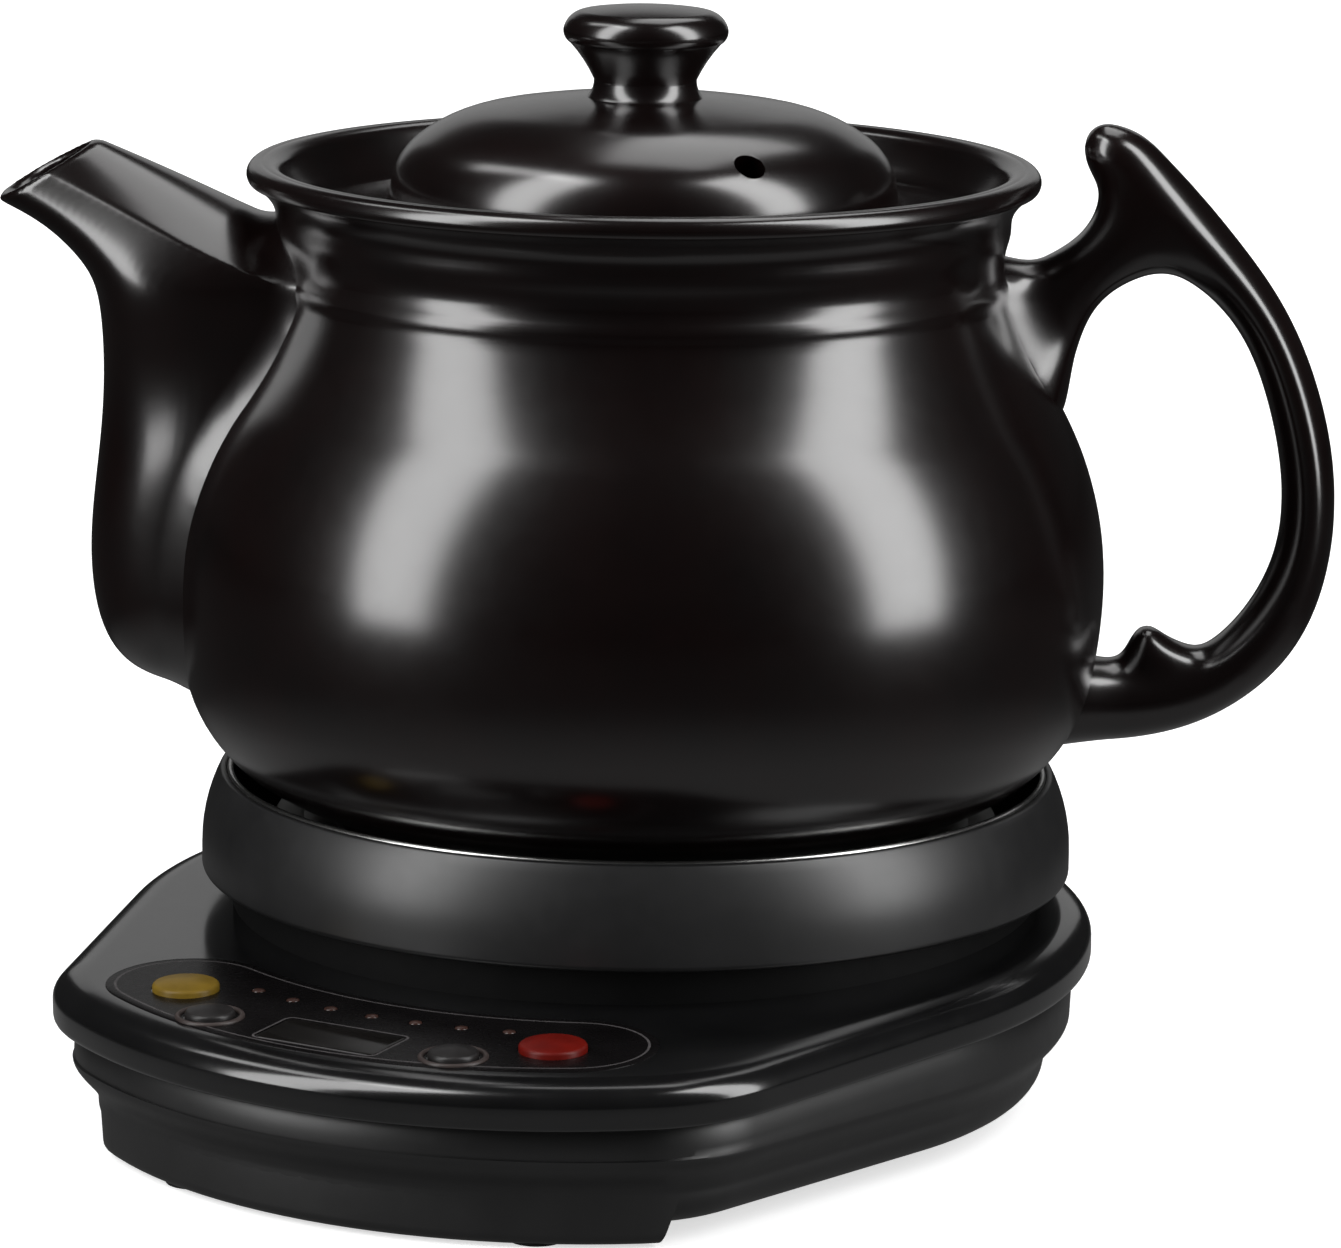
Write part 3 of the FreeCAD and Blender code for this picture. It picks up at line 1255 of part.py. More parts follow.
for name, x, y, radius in KEYS:
    edge = panel_top + dim.key_proud
    key = turned(name, [
        (0, key_stem_end),
        (dim.key_stem, key_stem_end),
        (dim.key_stem, key_flange_under),
        (radius + dim.key_flange, key_flange_under),
        (radius + dim.key_flange, key_flange_top),
        (radius, key_flange_top),
        (radius, edge, tangent_curve(radius, dim.key_crown)),
        (0, edge + dim.key_crown),
    ], COVER_FRAME)
    move(key, COVER_FRAME, x, -y)
    keep(key, name)

bezels = []
for name, x, y, radius in KEYS[2:]:
    inner_radius = radius + dim.key_play + dim.bezel_gap
    ring = cut(name + "_bezel",
               cylinder(name + "_bezel_disc", COVER_FRAME, inner_radius + dim.bezel_width, dim.bezel_height,
                        x, -y, panel_top),
               cylinder(name + "_bezel_hole", COVER_FRAME, inner_radius, dim.bezel_height, x, -y, panel_top))
    bezels.append(ring)
group("key_bezels", bezels)

keep(cuboid("display_window", COVER_FRAME, dim.window_width, window_depth, panel_top + dim.shell_wall,
            0, -small_key_y, roof_under), "display_window")
keep(cuboid("display_module", COVER_FRAME, dim.window_width, window_depth, roof_under - board_top,
            0, -small_key_y, board_top), "display_module")
group("indicator_lights", [
    cylinder(f"indicator_light_{number}", COVER_FRAME, dim.light_radius, panel_top - board_top, x, y, board_top)
    for number, (x, y) in enumerate(light_spots, start=1)
])

board = new_body("control_board", COVER_FRAME)
board_outline = new_sketch(board, "control_board_outline", "XY_Plane", board_top - dim.board_thick)
add_panel_outline(board_outline, dim.board_inset)
pad(board, board_outline, dim.board_thick)
holes = new_sketch(board, "control_board_holes", "XY_Plane", board_top)
for x, y in board_posts:
    add_circle(holes, x, y, dim.screw_radius + dim.screw_play)
pocket(board, holes, dim.board_thick)
keep(board, "control_board")

switches = []
for name, x, y, _ in KEYS:
    housing = cuboid(name + "_switch_box", COVER_FRAME, dim.switch_width, dim.switch_width, dim.switch_height,
                     x, -y, board_top)
    button = cylinder(name + "_switch_button", COVER_FRAME, dim.switch_button, dim.switch_button_height,
                      x, -y, board_top + dim.switch_height)
    switches.append(fuse(name + "_switch", [housing, button]))
group("key_switches", switches)

# Power board, inlet and leads

power = new_body("power_board", BASE_FRAME)
power_outline = new_sketch(power, "power_outline", "XY_Plane", dim.power_height)
add_rectangle(power_outline, as_size(0), dim.power_y, dim.power_width, dim.power_depth)
pad(power, power_outline, dim.board_thick)
holes = new_sketch(power, "power_holes", "XY_Plane", power_top)
for x, y in power_spots:
    add_circle(holes, x, y, dim.screw_radius + dim.screw_play)
pocket(power, holes, dim.board_thick)
keep(power, "power_board")

group("board_screws", [
    screw(f"board_screw_{number}", COVER_FRAME, x, y, board_top - dim.board_thick, dim.board_screw_length)
    for number, (x, y) in enumerate(board_posts, start=1)
] + [
    screw(f"power_screw_{number}", BASE_FRAME, x, y, power_top, dim.board_screw_length, downward=True)
    for number, (x, y) in enumerate(power_spots, start=1)
])

block_y = dim.power_y + dim.power_depth / 2 - dim.block_depth / 2
block_rear = block_y + dim.block_depth / 2
keep(cuboid("terminal_block", BASE_FRAME, dim.block_width, dim.block_depth, dim.block_height,
            0, block_y, power_top), "terminal_block")
quarter = dim.power_width / 4
keep(cuboid("power_relay", BASE_FRAME, quarter, dim.relay_height, dim.relay_height,
            -quarter, dim.power_y + dim.relay_height / 4, power_top), "power_relay")
keep(cuboid("transformer", BASE_FRAME, quarter + dim.capacitor_radius, dim.transformer_height,
            dim.transformer_height, quarter, dim.power_y, power_top), "transformer")
group("capacitors", [
    cylinder(f"capacitor_{number}", BASE_FRAME, dim.capacitor_radius, dim.capacitor_height,
             -quarter + offset * (dim.capacitor_radius * 2 + dim.relay_height / 8),
             dim.power_y - dim.power_depth / 4, power_top)
    for number, offset in enumerate((-0.5, 0.5), start=1)
])

inlet_face = rear_face - dim.upper_inset - dim.inlet_recess
inlet = new_body("inlet_socket", BASE_FRAME)
housing = new_sketch(inlet, "inlet_housing", "XZ_Plane", -inlet_face)
add_rectangle(housing, as_size(0), dim.inlet_middle, dim.inlet_width, dim.inlet_height)
pad(inlet, housing, dim.inlet_depth)
cavity = new_sketch(inlet, "inlet_cavity", "XZ_Plane", -inlet_face)
add_rectangle(cavity, as_size(0), dim.inlet_middle, dim.inlet_cavity_width, dim.inlet_cavity_height)
pocket(inlet, cavity, dim.inlet_cavity_depth, reverse=True)
pin_slots = new_sketch(inlet, "pin_slots", "XZ_Plane", -(inlet_face - dim.inlet_depth))
pin_spots = [side * dim.pin_spacing for side in (-1, 0, 1)]
for x in pin_spots:
    add_rectangle(pin_slots, x, dim.inlet_middle, dim.pin_width, dim.pin_height)
pocket(inlet, pin_slots, dim.inlet_depth - dim.inlet_cavity_depth)
keep(inlet, "inlet_socket")

pin_start = inlet_face - dim.inlet_depth - dim.pin_tail
pin_length = dim.pin_tail + dim.inlet_depth - dim.inlet_cavity_depth + dim.pin_free
group("inlet_pins", [
    cuboid(f"inlet_pin_{number}", BASE_FRAME, dim.pin_width, pin_length, dim.pin_height,
           x, pin_start + pin_length / 2, dim.inlet_middle - dim.pin_height / 2)
    for number, x in enumerate(pin_spots, start=1)
])

TO_REAR = Rotation(Vector(1, 0, 0), -90)
group("inlet_leads", [
    cylinder(f"inlet_lead_{number}", BASE_FRAME, dim.lead_radius, pin_start - block_rear,
             x, block_rear, dim.inlet_middle, TO_REAR)
    for number, x in enumerate(pin_spots, start=1)
])


def bent_lead(x):
    """Lead from an element terminal down and forward into the terminal block."""
    bend = dim.lead_bend.number
    rear = dim.terminal_y.number
    level = dim.inlet_middle.number
    start = Vector(x, rear, plate_under.number - dim.element_thick.number - dim.terminal_length.number)
    turn_in = Vector(x, rear, level + bend)
    middle = Vector(x, rear - bend * (1 - math.cos(math.pi / 4)), level + bend * (1 - math.sin(math.pi / 4)))
    turn_out = Vector(x, rear - bend, level)
    finish = Vector(x, block_rear.number, level)
    edges = [Part.makeLine(start, turn_in), Part.Arc(turn_in, middle, turn_out).toShape()]
    edges.append(Part.makeLine(turn_out, finish))
    profile = Part.Wire([Part.makeCircle(dim.lead_radius.number, start, Vector(0, 0, -1))])
    return Part.Wire(edges).makePipeShell([profile], True, True)


group("heater_leads", [
    add_shape(f"heater_lead_{number}", bent_lead(x.number), BASE_FRAME)
    for number, (x, _) in enumerate(terminal_spots, start=1)
])

ribbon_top = cover_top - light_distance * sine(dim.cover_slope) / cosine(dim.cover_slope)
ribbon_top = ribbon_top + (board_top - dim.board_thick) / cosine(dim.cover_slope) - dim.seat_gap
ribbon_end = dim.power_y - dim.power_depth / 2 + dim.power_post_inset
ribbon = new_body("panel_ribbon", BASE_FRAME)
strip = new_sketch(ribbon, "ribbon_outline", "YZ_Plane", -dim.ribbon_width / 2)
close_loop(strip, [
    (-light_distance, power_top),
    (ribbon_end, power_top),
    (ribbon_end, power_top + dim.ribbon_thick),
    (-light_distance + dim.ribbon_thick, power_top + dim.ribbon_thick),
    (-light_distance + dim.ribbon_thick, ribbon_top),
    (-light_distance, ribbon_top),
])
pad(ribbon, strip, dim.ribbon_width)
keep(ribbon, "panel_ribbon")

# Every feature has to be sound before a file is written
doc.recompute()
for item in doc.Objects:
    if "Invalid" in item.State or "Error" in item.State:
        raise RuntimeError(f"{item.Label} failed: {item.State}")
for piece in pieces:
    if piece.Shape.isNull() or not piece.Shape.isValid() or not piece.Shape.Solids:
        raise RuntimeError(f"{piece.Label} has no sound shape")

os.makedirs("parts", exist_ok=True)
for piece in pieces:
    piece.Shape.exportStep(f"parts/{piece.Label}.step")
    print(piece.Label, len(piece.Shape.Solids), round(piece.Shape.Volume))
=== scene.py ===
"""Looks of a glazed ceramic kettle on its electric heating base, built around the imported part.

Sizes in the classes are millimetres, in the frames that the pieces are drawn in. Meshes are metres.
"""

import logging
import math
from dataclasses import dataclass
from enum import Enum
from typing import Sequence

import bmesh
import bpy
import numpy as np
from bpy.types import ID, Material, Mesh, Node, NodeSocket, NodeTree
from bpy.types import Object as Piece
from mathutils import Matrix, Vector


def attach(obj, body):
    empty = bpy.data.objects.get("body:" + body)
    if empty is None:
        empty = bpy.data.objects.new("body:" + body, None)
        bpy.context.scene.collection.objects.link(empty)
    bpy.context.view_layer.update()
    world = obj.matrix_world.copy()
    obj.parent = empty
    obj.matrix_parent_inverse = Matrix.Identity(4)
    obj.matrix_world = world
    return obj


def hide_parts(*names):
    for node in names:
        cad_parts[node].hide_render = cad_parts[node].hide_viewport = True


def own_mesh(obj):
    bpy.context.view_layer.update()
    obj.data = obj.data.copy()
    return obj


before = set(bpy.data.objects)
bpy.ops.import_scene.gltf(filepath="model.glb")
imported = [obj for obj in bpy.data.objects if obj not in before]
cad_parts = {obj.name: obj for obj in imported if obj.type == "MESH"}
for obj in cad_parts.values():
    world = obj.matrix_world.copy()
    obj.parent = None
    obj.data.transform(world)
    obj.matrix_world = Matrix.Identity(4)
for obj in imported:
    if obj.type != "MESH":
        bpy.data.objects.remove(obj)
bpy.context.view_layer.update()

LOG = logging.getLogger("kettle")
MM = 0.001
TINY = 1e-6
ARC_STEP = math.radians(6.0)
ARC_CHORD = 2.5
TURN_SEGMENTS = 160
SMALL_SEGMENTS = 72
BEVEL_SEGMENTS = 3
ROD_SIDES = 24
SOFTENING = 0.5
SHARP_ANGLE = math.radians(38.0)
FULL_TURN = 2 * math.pi
QUARTER_TURN = math.pi / 2
MIRROR = np.array([-1.0, 1.0])

AXIS = Vector((-6.65, 21.4468, 0.0))
BASE_TURN = math.radians(-27.0)
COVER_SLOPE = math.radians(1.9)
PANEL_TURN = math.radians(-2.15)
PARTING_HEIGHT = 33.2
LIP_HEIGHT = 8.0
COVER_TOP = PARTING_HEIGHT + LIP_HEIGHT / math.cos(COVER_SLOPE)
TRAY_BOTTOM = 4.0
RECESS_DEPTH = 2.8
BOSS_DISTANCE = 73.0
BOSS_ANGLES = (30.0, 150.0, 210.0, 330.0)

Corner = tuple[float, ...]
Corners = Sequence[Corner]
Ring = list[bmesh.types.BMVert]


class Stand(Enum):
    """Frames that the pieces are drawn in; the value is the number of steps that lead there."""

    POT = 1
    BASE = 2
    COVER = 4
    PANEL = 5

    def matrix(self) -> Matrix:
        """Place of this frame in the part's own frame, in millimetres.

        Returns:
            The matrix.
        """
        steps = (
            Matrix.Translation(AXIS),
            Matrix.Rotation(BASE_TURN, 4, "Z"),
            Matrix.Translation((0.0, 0.0, COVER_TOP)),
            Matrix.Rotation(COVER_SLOPE, 4, "X"),
            Matrix.Rotation(PANEL_TURN, 4, "Z"),
        )
        place = Matrix.Identity(4)
        for step in steps[:self.value]:
            place = place @ step
        return place

    def place(self, points: np.ndarray) -> np.ndarray:
        """Rows of x, y and z of this frame, in metres in the part's own frame."""
        whole = np.array(self.matrix())
        return (np.asarray(points, float) @ whole[:3, :3].T + whole[:3, 3]) * MM

    def lay(self, flat: np.ndarray, height: float) -> np.ndarray:
        """Rows of x and y of this frame, laid at a height and placed."""
        return self.place(np.column_stack([flat, np.full(len(flat), height)]))


# Curves


def arc(spot: Corner, radius: float, begin: float, end: float, count: int) -> np.ndarray:
    """Points of an arc, without its last.

    Args:
        spot: Centre.
        radius: Radius.
        begin: First angle.
        end: Last angle.
        count: Number of points.

    Returns:
        Rows of x and y.
    """
    angles = begin + (end - begin) * np.arange(count) / count
    return np.array(spot) + radius * np.column_stack([np.cos(angles), np.sin(angles)])


def bow(start: np.ndarray, finish: np.ndarray, bend: float, count: int = 0) -> np.ndarray:
    """Points of an arc shorter than half a turn, without its last.

    Args:
        start: First end.
        finish: Last end.
        bend: Radius; positive turns left on the way.
        count: Number of points, or 0 for as many as the arc needs.

    Returns:
        Rows of x and y.
    """
    chord = finish - start
    length = float(np.hypot(*chord))
    radius = max(abs(bend), length / 2)
    offset = math.sqrt(max(radius * radius - length * length / 4, 0.0))
    left = np.array([-chord[1], chord[0]]) / length
    centre = (start + finish) / 2 + left * math.copysign(offset, bend)
    first = math.atan2(*(start - centre)[::-1])
    turn = 2 * math.asin(min(1.0, length / (2 * radius)))
    count = count or max(2, math.ceil(turn / ARC_STEP), math.ceil(turn * radius / ARC_CHORD))
    return arc(centre, radius, first, first + math.copysign(turn, bend), count)


def trace(corners: Corners, closed: bool = False) -> np.ndarray:
    """Points along lines and arcs through corners.

    Args:
        corners: Rows of x, y and, where an arc follows, its bend.
        closed: Whether the last corner joins the first.

    Returns:
        Rows of x and y.
    """
    ends = [np.array(row[:2], float) for row in corners]
    points = []
    for row, start, finish in zip(corners, ends, ends[1:] + ends[:1] * closed):
        points.append(bow(start, finish, row[2]) if len(row) == 3 else start[None])
    return np.concatenate(points if closed else points + [ends[-1][None]])


def spline(knots: np.ndarray, rows: np.ndarray, samples: np.ndarray) -> np.ndarray:
    """Natural cubic curve through rows.

    Args:
        knots: Place of each row on the curve.
        rows: Values to pass through.
        samples: Places to read.

    Returns:
        One row for each sample.
    """
    count = len(knots)
    gap = np.diff(knots)
    matrix = np.eye(count)
    right = np.zeros_like(rows)
    rise = np.diff(rows, axis=0) / gap[:, None]
    for index in range(1, count - 1):
        before, after = gap[index - 1], gap[index]
        matrix[index, index - 1:index + 2] = before, 2 * (before + after), after
        right[index] = 6 * (rise[index] - rise[index - 1])
    bends = np.linalg.solve(matrix, right)
    slot = np.clip(np.searchsorted(knots, samples) - 1, 0, count - 2)
    width = gap[slot][:, None]
    far = (samples - knots[slot])[:, None] / width
    near = 1 - far
    curve = near * rows[slot] + far * rows[slot + 1]
    return curve + ((near**3 - near) * bends[slot] + (far**3 - far) * bends[slot + 1]) * width**2 / 6


def quarter(start: Corner, finish: Corner, count: int, first_axis: int = 0) -> list[Corner]:
    """Rounded step between two rows of inset and height.

    Args:
        start: First row, which is left out.
        finish: Last row, which is included.
        count: Number of rows.
        first_axis: Which value moves first.

    Returns:
        Rows on a quarter of an ellipse.
    """
    rows = []
    for angle in QUARTER_TURN * np.arange(1, count + 1) / count:
        shares = np.roll((math.sin(angle), 1 - math.cos(angle)), first_axis)
        rows.append(tuple(np.array(start) + np.subtract(finish, start) * shares))
    return rows


# Meshes


def new_object(name: str, data: ID) -> Piece:
    """Object at the origin that shows a mesh, a lamp or a camera.

    Args:
        name: Name of the object.
        data: What it shows.

    Returns:
        The new object.
    """
    piece = bpy.data.objects.new(name, data)
    bpy.context.scene.collection.objects.link(piece)
    return piece


def seeds(name: str, points: np.ndarray) -> Piece:
    """Object of loose points that a tree starts from.

    Args:
        name: Name of the object.
        points: Rows of x, y and z in metres.

    Returns:
        The new object.
    """
    mesh = bpy.data.meshes.new(name)
    mesh.from_pydata([tuple(point) for point in points], [], [])
    return new_object(name, mesh)


def smooth(mesh: Mesh) -> None:
    """Shade a mesh smooth, with hard lines where faces meet at an angle."""
    mesh.polygons.foreach_set("use_smooth", np.ones(len(mesh.polygons), bool))
    mesh.set_sharp_from_angle(angle=SHARP_ANGLE)


def from_bmesh(name: str, soup: bmesh.types.BMesh, outward: bool = True) -> Piece:
    """Smooth object from a bmesh, which is freed.

    Args:
        name: Name of the piece.
        soup: Faces to keep.
        outward: Whether faces are turned to point out of closed shells.

    Returns:
        The new object.
    """
    if outward:
        bmesh.ops.recalc_face_normals(soup, faces=soup.faces)
    mesh = bpy.data.meshes.new(name)
    soup.to_mesh(mesh)
    soup.free()
    smooth(mesh)
    return new_object(name, mesh)


def skin(name: str, loops: Sequence[np.ndarray], ring: bool = False, capped: bool = False) -> Piece:
    """Closed shell through loops of points.

    Args:
        name: Name of the piece.
        loops: Closed loops of equal length in metres; a loop of one point is a pole.
        ring: Whether the last loop joins the first.
        capped: Whether flat faces close the two ends.

    Returns:
        The new object.
    """
    soup = bmesh.new()
    rows = [[soup.verts.new(tuple(point)) for point in loop] for loop in loops]
    for low, high in zip(rows, rows[1:] + rows[:1] * ring):
        count = max(len(low), len(high))
        for index in range(count):
            after = (index + 1) % count
            if len(low) == 1:
                soup.faces.new((low[0], high[after], high[index]))
            elif len(high) == 1:
                soup.faces.new((low[index], low[after], high[0]))
            else:
                soup.faces.new((low[index], low[after], high[after], high[index]))
    if capped:
        soup.faces.new(rows[0][::-1])
        soup.faces.new(rows[-1])
    return from_bmesh(name, soup)


def turned(name: str, outline: np.ndarray, stand: Stand, spot: Corner = (0.0, 0.0), ring: bool = False,
           segments: int = TURN_SEGMENTS) -> Piece:
    """Piece of revolution.

    Args:
        name: Name of the piece.
        outline: Rows of radius and height.
        stand: Frame that it is drawn in.
        spot: Its axis in that frame.
        ring: Whether the outline is closed.
        segments: Faces in one turn.

    Returns:
        The new object.
    """
    loops = []
    for radius, height in outline:
        count = segments if radius > TINY else 1
        loops.append(stand.lay(arc(spot, radius, 0.0, FULL_TURN, count), height))
    return skin(name, loops, ring)


def bake(piece: Piece) -> Piece:
    """Turn a piece's modifiers into its mesh.

    Args:
        piece: Piece with modifiers.

    Returns:
        The same piece.
    """
    graph = bpy.context.evaluated_depsgraph_get()
    mesh = bpy.data.meshes.new_from_object(piece.evaluated_get(graph), depsgraph=graph)
    piece.modifiers.clear()
    piece.data = mesh
    return piece


def modify(piece: Piece, kind: str, **settings: object) -> Piece:
    """Put one modifier on a piece and bake it.

    Args:
        piece: Piece to change.
        kind: Type of the modifier.
        settings: Properties of the modifier.

    Returns:
        The same piece.
    """
    change = piece.modifiers.new("change", kind)
    for key, value in settings.items():
        setattr(change, key, value)
    return bake(piece)


def bevel(piece: Piece, width: float) -> Piece:
    """Round the sharp edges of a piece by a width in millimetres.

    Args:
        piece: Piece to round.
        width: Width of the rounding.

    Returns:
        The same piece.
    """
    modify(piece, "BEVEL", width=width * MM, segments=BEVEL_SEGMENTS, limit_method="ANGLE",
           angle_limit=SHARP_ANGLE)
    smooth(piece.data)
    return piece


def carve(piece: Piece, *tools: Piece) -> Piece:
    """Cut tools out of a piece and remove them.

    Args:
        piece: Piece to cut.
        tools: Pieces to cut out of it.

    Returns:
        The same piece.
    """
    for tool in tools:
        modify(piece, "BOOLEAN", operation="DIFFERENCE", solver="EXACT", object=tool)
        drop(tool)
    smooth(piece.data)
    return piece


def drop(piece: Piece) -> None:
    """Remove an object and its mesh.

    Args:
        piece: Object to remove.
    """
    mesh = piece.data
    bpy.data.objects.remove(piece)
    bpy.data.meshes.remove(mesh)


def merge(name: str, pieces: Sequence[Piece]) -> Piece:
    """One object from several, which are removed.

    Args:
        name: Name of the new piece.
        pieces: Pieces to put together.

    Returns:
        The new object.
    """
    soup = bmesh.new()
    for piece in pieces:
        soup.from_mesh(piece.data)
        drop(piece)
    return from_bmesh(name, soup, outward=False)


# Nodes and finishes


class Nodes:
    """Node tree that is written node by node, each with what goes into it."""

    def __init__(self, tree: NodeTree) -> None:
        """Start with an empty tree."""
        tree.nodes.clear()
        self.tree = tree

    def add(self, kind: str, inputs: dict | None = None, **settings: object) -> Node:
        """Add a node.

        Args:
            kind: Type of the node.
            inputs: Names or numbers of inputs, each with a value, a socket, a node or a list of nodes.
                A node stands for its first output.
            settings: Properties of the node.

        Returns:
            The node.
        """
        node = self.tree.nodes.new(kind)
        for key, value in settings.items():
            setattr(node, key, value)
        for key, value in (inputs or {}).items():
            for source in value if isinstance(value, list) else [value]:
                source = source.outputs[0] if isinstance(source, Node) else source
                if isinstance(source, NodeSocket):
                    self.tree.links.new(source, node.inputs[key])
                else:
                    node.inputs[key].default_value = source
        return node

    def calc(self, operation: str, *values: object) -> Node:
        """Outcome of a named operation on numbers, sockets or nodes."""
        return self.add("ShaderNodeMath", dict(enumerate(values)), operation=operation)

    def span(self, value: object, *limits: float) -> Node:
        """Value moved from the first two limits to the last two."""
        names = ("Value", "From Min", "From Max", "To Min", "To Max")
        return self.add("ShaderNodeMapRange", dict(zip(names, (value, *limits))))


@dataclass(frozen=True)
class Finish:
    """Moulded, glazed or drawn surface with cloudy colour, uneven gloss and a fine grain.

    The grain is its scale, its depth in millimetres and its strength.
    """

    name: str
    dark: Corner
    light: Corner
    rough: Corner
    cloud: float
    grain: Corner
    stretch: Corner = (1.0, 1.0, 1.0)
    metallic: float = 0.0
    specular: float = 0.5
    coat: float = 0.0
    coat_rough: float = 0.1
    cloud_stops: Corner = (0.3, 0.7)
    patch_share: float = 5.0
    cloud_detail: float = 3.0
    grain_detail: float = 4.0

    def material(self) -> Material:
        """Make the finish, or find it if it was made before.

        Returns:
            The material.
        """
        name = self.name + "_finish"
        if name in bpy.data.materials:
            return bpy.data.materials[name]
        material = bpy.data.materials.new(name)
        material.use_nodes = True
        nodes = Nodes(material.node_tree)
        place = nodes.add("ShaderNodeTexCoord").outputs["Object"]
        where = nodes.add("ShaderNodeMapping", {"Vector": place, "Scale": self.stretch})
        scale, depth, strength = self.grain
        noises = ((self.cloud, self.cloud_detail), (self.cloud * self.patch_share, self.cloud_detail),
                  (scale, self.grain_detail))
        cloud, patch, fine = (
            nodes.add("ShaderNodeTexNoise", {"Vector": where, "Scale": size, "Detail": detail})
            for size, detail in noises)
        ramp = nodes.add("ShaderNodeValToRGB", {"Fac": cloud})
        for stop, spot, shade in zip(ramp.color_ramp.elements, self.cloud_stops, (self.dark, self.light)):
            stop.position = spot
            stop.color = (*shade, 1.0)
        bump = nodes.add("ShaderNodeBump", {"Height": fine, "Strength": strength, "Distance": depth * MM})
        surface = nodes.add("ShaderNodeBsdfPrincipled", {
            "Base Color": ramp, "Roughness": nodes.span(patch, 0.0, 1.0, *self.rough), "Normal": bump,
            "Metallic": self.metallic, "Specular IOR Level": self.specular, "Coat Weight": self.coat,
            "Coat Roughness": self.coat_rough})
        nodes.add("ShaderNodeOutputMaterial", {"Surface": surface})
        return material

    def dress(self, piece: Piece, second: "Finish | None" = None, faces: Sequence[int] = ()) -> None:
        """Give a piece this finish.

        Args:
            piece: Piece to dress.
            second: Finish of some of its faces.
            faces: Numbers of those faces.
        """
        piece.data.materials.clear()
        for finish in (self, second) if second else (self,):
            piece.data.materials.append(finish.material())
        for face in faces:
            piece.data.polygons[face].material_index = 1


GLAZE = Finish("black_glaze", (0.0022, 0.0003, 0.00025), (0.0045, 0.0008, 0.0006), (0.19, 0.24),
               45.0, (1900.0, 0.02, 0.12), specular=1.0, coat=0.8, coat_rough=0.22)
COLLAR_SATIN = Finish("collar_satin", (0.008, 0.008, 0.0085), (0.013, 0.013, 0.0135), (0.36, 0.44),
                      70.0, (2600.0, 0.04, 0.14), specular=0.8, coat=0.5, coat_rough=0.36)
COVER_GLOSS = Finish("cover_gloss", (0.004, 0.004, 0.0043), (0.007, 0.007, 0.0073), (0.15, 0.22),
                     50.0, (900.0, 0.02, 0.05), specular=0.7, coat=0.8, coat_rough=0.12)
# Darker and duller than the cover: painted shade from the collar's overhang on the pedestal wall, which
# also keeps lamp reflections off it.
PEDESTAL_PAINTED_SHADE = Finish("pedestal_painted_shade", (0.0025, 0.0025, 0.0026), (0.0045, 0.0045, 0.0046), (0.6, 0.7),
                       70.0, (2600.0, 0.05, 0.2), specular=0.2)
SHELL_MATT = Finish("shell_matt", (0.006, 0.006, 0.0063), (0.011, 0.011, 0.0113), (0.38, 0.47),
                    70.0, (2800.0, 0.05, 0.2), specular=0.8, coat=0.3, coat_rough=0.4)
PANEL_FILM = Finish("panel_film", (0.0035, 0.003, 0.0032), (0.006, 0.0052, 0.0055), (0.24, 0.31),
                    90.0, (2400.0, 0.02, 0.08), specular=0.15)
PRINT_PALE = Finish("panel_print", (0.05, 0.046, 0.047), (0.08, 0.073, 0.075), (0.45, 0.55),
                    400.0, (3000.0, 0.01, 0.1))
KEY_YELLOW = Finish("key_yellow", (0.15, 0.092, 0.009), (0.2, 0.125, 0.014), (0.34, 0.42),
                    220.0, (2600.0, 0.03, 0.12), specular=0.25)
KEY_RED = Finish("key_red", (0.1, 0.003, 0.0012), (0.14, 0.005, 0.002), (0.34, 0.42),
                 220.0, (2600.0, 0.03, 0.12), specular=0.25)
KEY_DARK = Finish("key_dark", (0.012, 0.011, 0.011), (0.02, 0.018, 0.018), (0.34, 0.42),
                  220.0, (2600.0, 0.03, 0.12))
RING_GREY = Finish("ring_grey", (0.035, 0.026, 0.024), (0.055, 0.042, 0.039), (0.35, 0.45),
                   300.0, (2600.0, 0.02, 0.1))
WINDOW_SMOKE = Finish("window_smoke", (0.006, 0.0055, 0.005), (0.01, 0.009, 0.0085), (0.06, 0.1),
                      120.0, (700.0, 0.01, 0.03), specular=0.3)
RUBBER = Finish("foot_rubber", (0.012, 0.012, 0.012), (0.022, 0.022, 0.022), (0.65, 0.8),
                150.0, (1800.0, 0.08, 0.3), specular=0.3)
BRIGHT_TRIM = Finish("bright_trim", (0.55, 0.55, 0.54), (0.7, 0.7, 0.69), (0.2, 0.3),
                     120.0, (700.0, 0.02, 0.1), (1.0, 1.0, 14.0), metallic=1.0)
PLATE_METAL = Finish("plate_metal", (0.3, 0.3, 0.29), (0.42, 0.42, 0.41), (0.34, 0.46),
                     60.0, (1100.0, 0.05, 0.2), metallic=1.0)
ELEMENT_METAL = Finish("element_metal", (0.16, 0.155, 0.15), (0.24, 0.23, 0.22), (0.45, 0.6),
                       90.0, (1200.0, 0.08, 0.3), metallic=1.0)
SENSOR_PLASTIC = Finish("sensor_plastic", (0.5, 0.46, 0.38), (0.62, 0.58, 0.5), (0.45, 0.55),
                        110.0, (1600.0, 0.05, 0.2))
SPRING_STEEL = Finish("spring_steel", (0.42, 0.42, 0.43), (0.58, 0.58, 0.6), (0.22, 0.32),
                      300.0, (1500.0, 0.02, 0.15), metallic=1.0)
SCREW_ZINC = Finish("screw_zinc", (0.45, 0.45, 0.43), (0.6, 0.6, 0.58), (0.3, 0.42),
                    250.0, (1500.0, 0.03, 0.2), metallic=1.0)
BOARD_GREEN = Finish("board_green", (0.012, 0.075, 0.03), (0.02, 0.11, 0.045), (0.35, 0.45),
                     180.0, (900.0, 0.05, 0.25))
MODULE_BLACK = Finish("module_black", (0.012, 0.012, 0.013), (0.022, 0.022, 0.023), (0.42, 0.52),
                      110.0, (2200.0, 0.05, 0.2))
